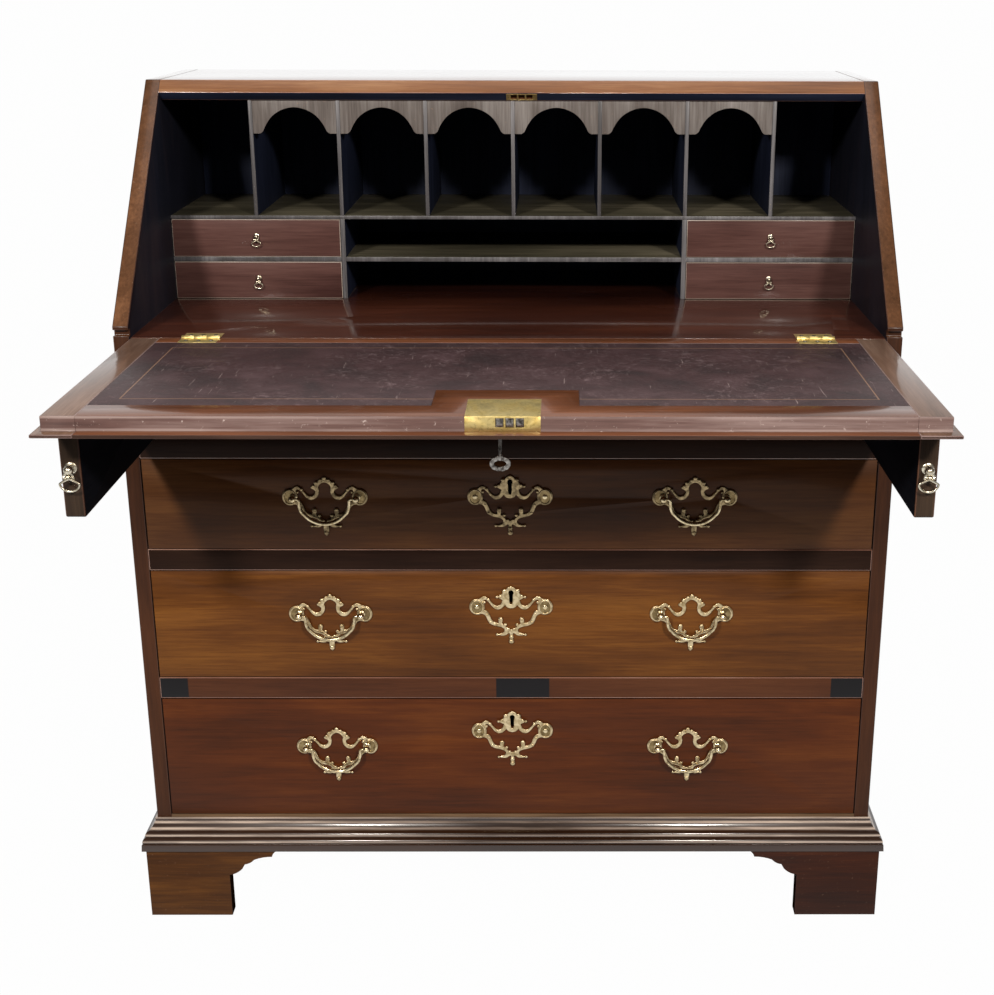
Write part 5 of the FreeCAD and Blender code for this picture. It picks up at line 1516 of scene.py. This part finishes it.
@dataclass
class Carcase:
    """The sides, top, back, rails, bed, moulding and feet.

    Its sizes are in millimetres, and its places in metres.
    """

    finishes: Finishes
    ease: float = 1.1
    foot_ease: float = 1.6
    top_least: float = 30.0
    under_fall: float = 0.5
    flank: float = 0.456
    mitre: tuple[float, float] = (0.475, -0.0595)
    foot_side: float = 0.47

    def sides(self) -> None:
        """The two ends, with black-stained inner faces."""
        for shift, side in enumerate(("left", "right")):
            inward = -ACROSS if shift else ACROSS

            def rule(centre: Vector, normal: Vector, inward: Vector = inward) -> int:
                """Inner faces are stained, the slanted edge is paler, the top waxed.

                Args:
                    centre: a face's centre; not used.
                    normal: its normal.
                    inward: the way to the desk's middle.

                Returns:
                    The face's slot.
                """
                if normal.dot(inward) > 0.7:
                    return 1
                return 4 if normal.z > 0.9 else 2 if slanted(normal) else 0
            woods = (("polished side", f"polished mahogany z {1 + shift}", 1.0),
                     ("stained end", f"stained end side_{side}", 4.0),
                     ("faced edge", f"faced edge side_{side}", 6.0))
            dressed(f"side_{side}",
                    *(self.finishes.of(kind, name=name, shift=start + shift)
                      for kind, name, start in woods),
                    self.finishes.of("softened mahogany edge"),
                    self.finishes.of("waxed top"), rule=rule, ease_mm=self.ease,
                    edge_slot=3)

    def top(self) -> None:
        """The top board, with its paler band on the slope and its underside stained."""
        def rule(centre: Vector, normal: Vector) -> int:
            """The slanted band is paler, the top is waxed and the underside is stained.

            Args:
                centre: a face's centre; not used.
                normal: its normal.

            Returns:
                The face's slot.
            """
            if normal.z < -0.5:
                return 2
            return 4 if normal.z > 0.9 else 1 if slanted(normal) else 0
        dressed("top_board", *map(self.finishes.of, (
            "polished mahogany", "faced top band", "black stained wood x",
            "mahogany arris wear and painted highlight", "waxed top")), rule=rule, ease_mm=self.ease,
                edge_slot=3, least_mm=self.top_least)

    def inside(self) -> None:
        """The back, bed, rails, and the oak boards that need one finish each."""
        dressed("back_boards", *map(self.finishes.of, (
            "planed oak z", "black stained wood z")), rule=front_face, ease_mm=0.6)
        # Pale eased edges: wear and painted highlight
        arris = self.finishes.of("mahogany arris wear and painted highlight")
        dressed("writing_bed", self.finishes.of("polished bed"), arris, ease_mm=0.6,
                edge_slot=1)

        def rule(centre: Vector, normal: Vector) -> int:
            """The rails under the fall are darker, with painted shade."""
            return 2 if centre.z > self.under_fall else 0
        dressed("front_rails", self.finishes.of("drawer rail mahogany"), arris,
                self.finishes.of("rail mahogany with painted shade"), rule=rule, ease_mm=1.0,
                edge_slot=1)
        for node, grain in (("bottom_board", "x"), ("dust_boards", "x"),
                            ("drawer_runners", "y"), ("loper_guides", "y"),
                            ("foot_blocks", "z")):
            dressed(node, self.finishes.of(f"planed oak {grain}"))

    def base(self) -> None:
        """The base moulding and the bracket feet."""
        def rule(centre: Vector, normal: Vector) -> int:
            """Side lengths run back from the mitre at each corner.

            Args:
                centre: a face's centre.
                normal: its normal; not used.

            Returns:
                The face's slot.
            """
            corner, front = self.mitre
            mitre = front - (abs(centre.x) - corner)
            return 1 if abs(centre.x) > self.flank and centre.y > mitre else 0

        def foot_rule(centre: Vector, normal: Vector) -> int:
            """The right-hand front bracket is darker and sawn edges are dull.

            Args:
                centre: a face's centre.
                normal: its normal.

            Returns:
                The face's slot.
            """
            if normal.z < -0.2 or (abs(centre.x) < self.foot_side and abs(normal.x) > 0.3):
                return 4
            slot = rule(centre, normal)
            return 3 if slot == 0 and centre.x > 0 else slot
        dressed("base_moulding", *map(self.finishes.of, (
            "moulded mahogany x", "moulded mahogany y", "mahogany arris wear and painted highlight")),
                rule=rule, ease_mm=0.6, edge_slot=2)
        dressed("bracket_feet", *map(self.finishes.of, (
            "bracket mahogany x", "bracket mahogany y", "softened mahogany edge",
            "darker bracket mahogany", "sawn bracket edge")), rule=foot_rule,
                ease_mm=self.foot_ease, edge_slot=2)

    def build(self) -> None:
        """Builds the carcase."""
        self.sides()
        self.top()
        self.inside()
        self.base()


@dataclass
class Gallery:
    """Pigeonholes, valances, shelves and the four small drawers."""

    finishes: Finishes
    ease: float = 0.5
    drawer_ease: float = 0.7
    front_depth: float = 0.009
    pull_share: float = 0.58
    shifts: tuple[tuple[str, float], ...] = (("left", 10.23), ("right", 10.40))

    def build(self) -> None:
        """Builds the gallery."""
        # Front edges: wear and painted sheen
        upright, worn = (self.finishes.of(name) for name in (
            "black stained wood z", "gallery edge wear and painted sheen"))

        def shelf_rule(centre: Vector, normal: Vector) -> int:
            """A shelf's upper face is paler: worn, and with painted light from above."""
            return 2 if normal.z > 0.5 else front_face(centre, normal)
        for node, woods, rule in (
                ("gallery_dividers", (upright, worn), front_face),
                ("gallery_partitions", (upright, worn), front_face),
                ("gallery_shelves", (self.finishes.of("black stained wood x"), worn,
                                     self.finishes.of("shelf top wear and painted light")), shelf_rule),
                ("gallery_valances", (upright, self.finishes.of("gallery fronts")),
                 front_face)):
            dressed(node, *woods, rule=rule, ease_mm=self.ease, edge_slot=1)
        for tier in ("upper", "lower"):
            for side, shift in self.shifts:
                self.drawer(f"small_drawer_{tier}_{side}", self.finishes.of(
                    "small front", name=f"small front {tier} {side}", shift=shift))

    def drawer(self, node: str, front: Material) -> None:
        """One small drawer with its pull.

        Args:
            node: its node.
            front: its front's finish.
        """
        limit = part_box(node)[0].y + self.front_depth

        def rule(centre: Vector, normal: Vector) -> int:
            """The front board is mahogany and the rest is oak."""
            return 0 if centre.y <= limit and normal.y < 0.9 else 1
        # Edges nearly white: wear and painted highlight
        dressed(node, front, self.finishes.of("planed oak y"),
                self.finishes.of("small drawer edge wear and painted highlight"), rule=rule,
                ease_mm=self.drawer_ease, edge_slot=2)
        DropPull(self.finishes, f"{node}_knob", f"{node}_drop", f"{node}_drop_swing",
                 self.pull_share).build()


@dataclass
class Fall:
    """The fall with its leather, lock, bolts, key and hinges.

    Its sizes are in millimetres, and its places in metres.
    """

    finishes: Finishes
    ease: float = 1.2
    lip_depth: float = 0.0075
    lip_rise: float = 0.004
    crest_drop: float = 0.0012
    crest_rise: float = 0.0052
    hinge_starts: tuple[float, float] = (-0.394, 0.348)
    knuckle: float = 3.12
    knuckle_end: float = 2.9
    bed_spans: tuple = ((0.0, 15.2), (30.8, 46.0))
    fall_spans: tuple = ((15.5, 30.5),)
    screws: tuple[float, ...] = (8.0, 23.0, 38.0)
    screw: float = 2.6

    def hinge_details(self, brass: Material, steel: Material) -> None:
        """Round knuckles over the hinges' flat-sided ones, and three screws in each leaf.

        Args:
            brass: the knuckles' finish.
            steel: the screws' finish.
        """
        axis, head = hinge_place("fall_hinge"), screw_head()
        for body, spans, reach, seed in (("carcase", self.bed_spans, 15.0, 5),
                                         ("fall", self.fall_spans, -14.0, 8)):
            parts = []
            for start in self.hinge_starts:
                for low, high in spans:
                    length = high - low
                    profile = [(self.knuckle_end, 0.0), (self.knuckle, 0.3),
                               (self.knuckle, length - 0.3), (self.knuckle_end, length)]
                    foot = Vector((start + low * MM, axis.y, axis.z))
                    parts.append((turned(profile, foot, ACROSS, 24), brass))
                parts.append(studs([(Vector((start + across * MM, axis.y + reach * MM,
                                             axis.z + 0.1 * MM)), self.screw)
                                    for across in self.screws], head, UP, steel, seed))
            gathered(parts, "bed_hinge_leaves", body)

    def boards(self) -> None:
        """The panel and the clamps, with their front edge's wear and painted sheen, and
        painted shade on the lip.
        """
        near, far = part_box("fall_clamps")

        def rule(centre: Vector, normal: Vector) -> int:
            """The front edge of the fall is pale with wear and painted sheen, and its lip
            has painted shade.

            Args:
                centre: a face's centre.
                normal: its normal.

            Returns:
                The face's slot.
            """
            if normal.z < -0.5:
                return 4
            if centre.y < near.y + self.lip_depth or (
                    abs(normal.x) < 0.1 and normal.y < -0.5 and
                    centre.z < near.z + self.lip_rise):
                return 3
            return 2 if normal.y < -0.5 else 0
        # Front edge: wear and painted sheen, with two pale lines that are partly painted
        # highlight
        lip = self.finishes.of("front edge wear and painted sheen", crests=(
            far.z - self.crest_drop, near.z + self.crest_rise))
        for node, wood in (("fall_panel", "fall panel mahogany"),
                           ("fall_clamps", "fall clamp mahogany")):
            dressed(node, self.finishes.of(wood), self.finishes.of("rubbed fall arris"), lip,
                    self.finishes.of("shaded lip"), self.finishes.of("fall outer face"),
                    rule=rule, ease_mm=self.ease, edge_slot=2)

    def build(self) -> None:
        """Builds the fall."""
        self.boards()
        low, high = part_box("fall_leather")
        leather = self.finishes.keep(WornSkiver("worn dyed skiver", high.x, low.y, high.y))
        brass, steel = (self.finishes.of(name) for name in (
            "rolled yellow brass", "filed steel"))
        for node, finish, ease in (
                ("fall_leather", leather, 0.3), ("fall_lock_plate", brass, 0.25),
                ("fall_lock_case", brass, 0.25), ("strike_plate", brass, 0.25),
                ("bed_hinge_leaves", brass, 0.2), ("fall_hinge_leaves", brass, 0.2)):
            dressed(node, finish, ease_mm=ease)
        self.hinge_details(brass, steel)
        dressed("fall_bolts", steel, ease_mm=0.4)
        dressed("fall_key", steel, ease_mm=0.5)


@dataclass
class Lopers:
    """The two sliding supports with their drop pulls."""

    finishes: Finishes
    ease: float = 1.4

    def build(self) -> None:
        """Builds both lopers."""
        for side in ("left", "right"):
            # The sides are near black with painted shade; the end grain in front is paler
            dressed(f"loper_{side}", *map(self.finishes.of, (
                "loper side painted shade", "loper end", "softened mahogany edge")),
                    rule=front_face, ease_mm=self.ease, edge_slot=2)
            DropPull(self.finishes, f"loper_knob_{side}", f"loper_drop_{side}",
                     f"loper_drop_swing_{side}").build()


@dataclass
class LongDrawers:
    """The three long drawers with their brasses and bails."""

    finishes: Finishes
    names: tuple[str, ...] = ("low", "middle", "top")
    front_ease: float = 1.7
    box_ease: float = 0.5
    back_board: float = 0.016

    def drawer(self, name: str) -> None:
        """One long drawer.

        Args:
            name: its row.
        """
        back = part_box(f"{name}_drawer_front")[1].y - MM
        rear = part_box(f"{name}_drawer_box")[1].y - self.back_board

        def rule(centre: Vector, normal: Vector) -> int:
            """The front's inner face is bare."""
            return 1 if normal.y > 0.9 and centre.y > back else 0

        def box_rule(centre: Vector, normal: Vector) -> int:
            """The back board's grain runs across."""
            return 1 if centre.y > rear and abs(normal.y) > 0.5 else 0
        oak = self.finishes.of("planed oak x")
        # The front's eased edges carry painted shade for the gaps round it
        dressed(f"{name}_drawer_front", self.finishes.of(f"drawer front {name}"), oak,
                self.finishes.of("long drawer edge painted shade"), rule=rule, ease_mm=self.front_ease,
                edge_slot=2)
        dressed(f"{name}_drawer_box", self.finishes.of("planed oak y"), oak,
                rule=box_rule, ease_mm=self.box_ease)
        DrawerBrasses(self.finishes, name).build()

    def build(self) -> None:
        """Builds the long drawers."""
        for name in self.names:
            self.drawer(name)


def main() -> None:
    """Builds the setting and every sub-assembly in order."""
    logging.basicConfig(level=logging.INFO, format="%(message)s")
    NODES.update(wire=wire_group(), studs=stud_group())
    finishes = Finishes()
    for assembly in (Studio(), Carcase(finishes), Gallery(finishes), Fall(finishes),
                     Lopers(finishes), LongDrawers(finishes)):
        assembly.build()
        log.info("%s done", type(assembly).__name__)


if __name__ == "__main__":
    main()
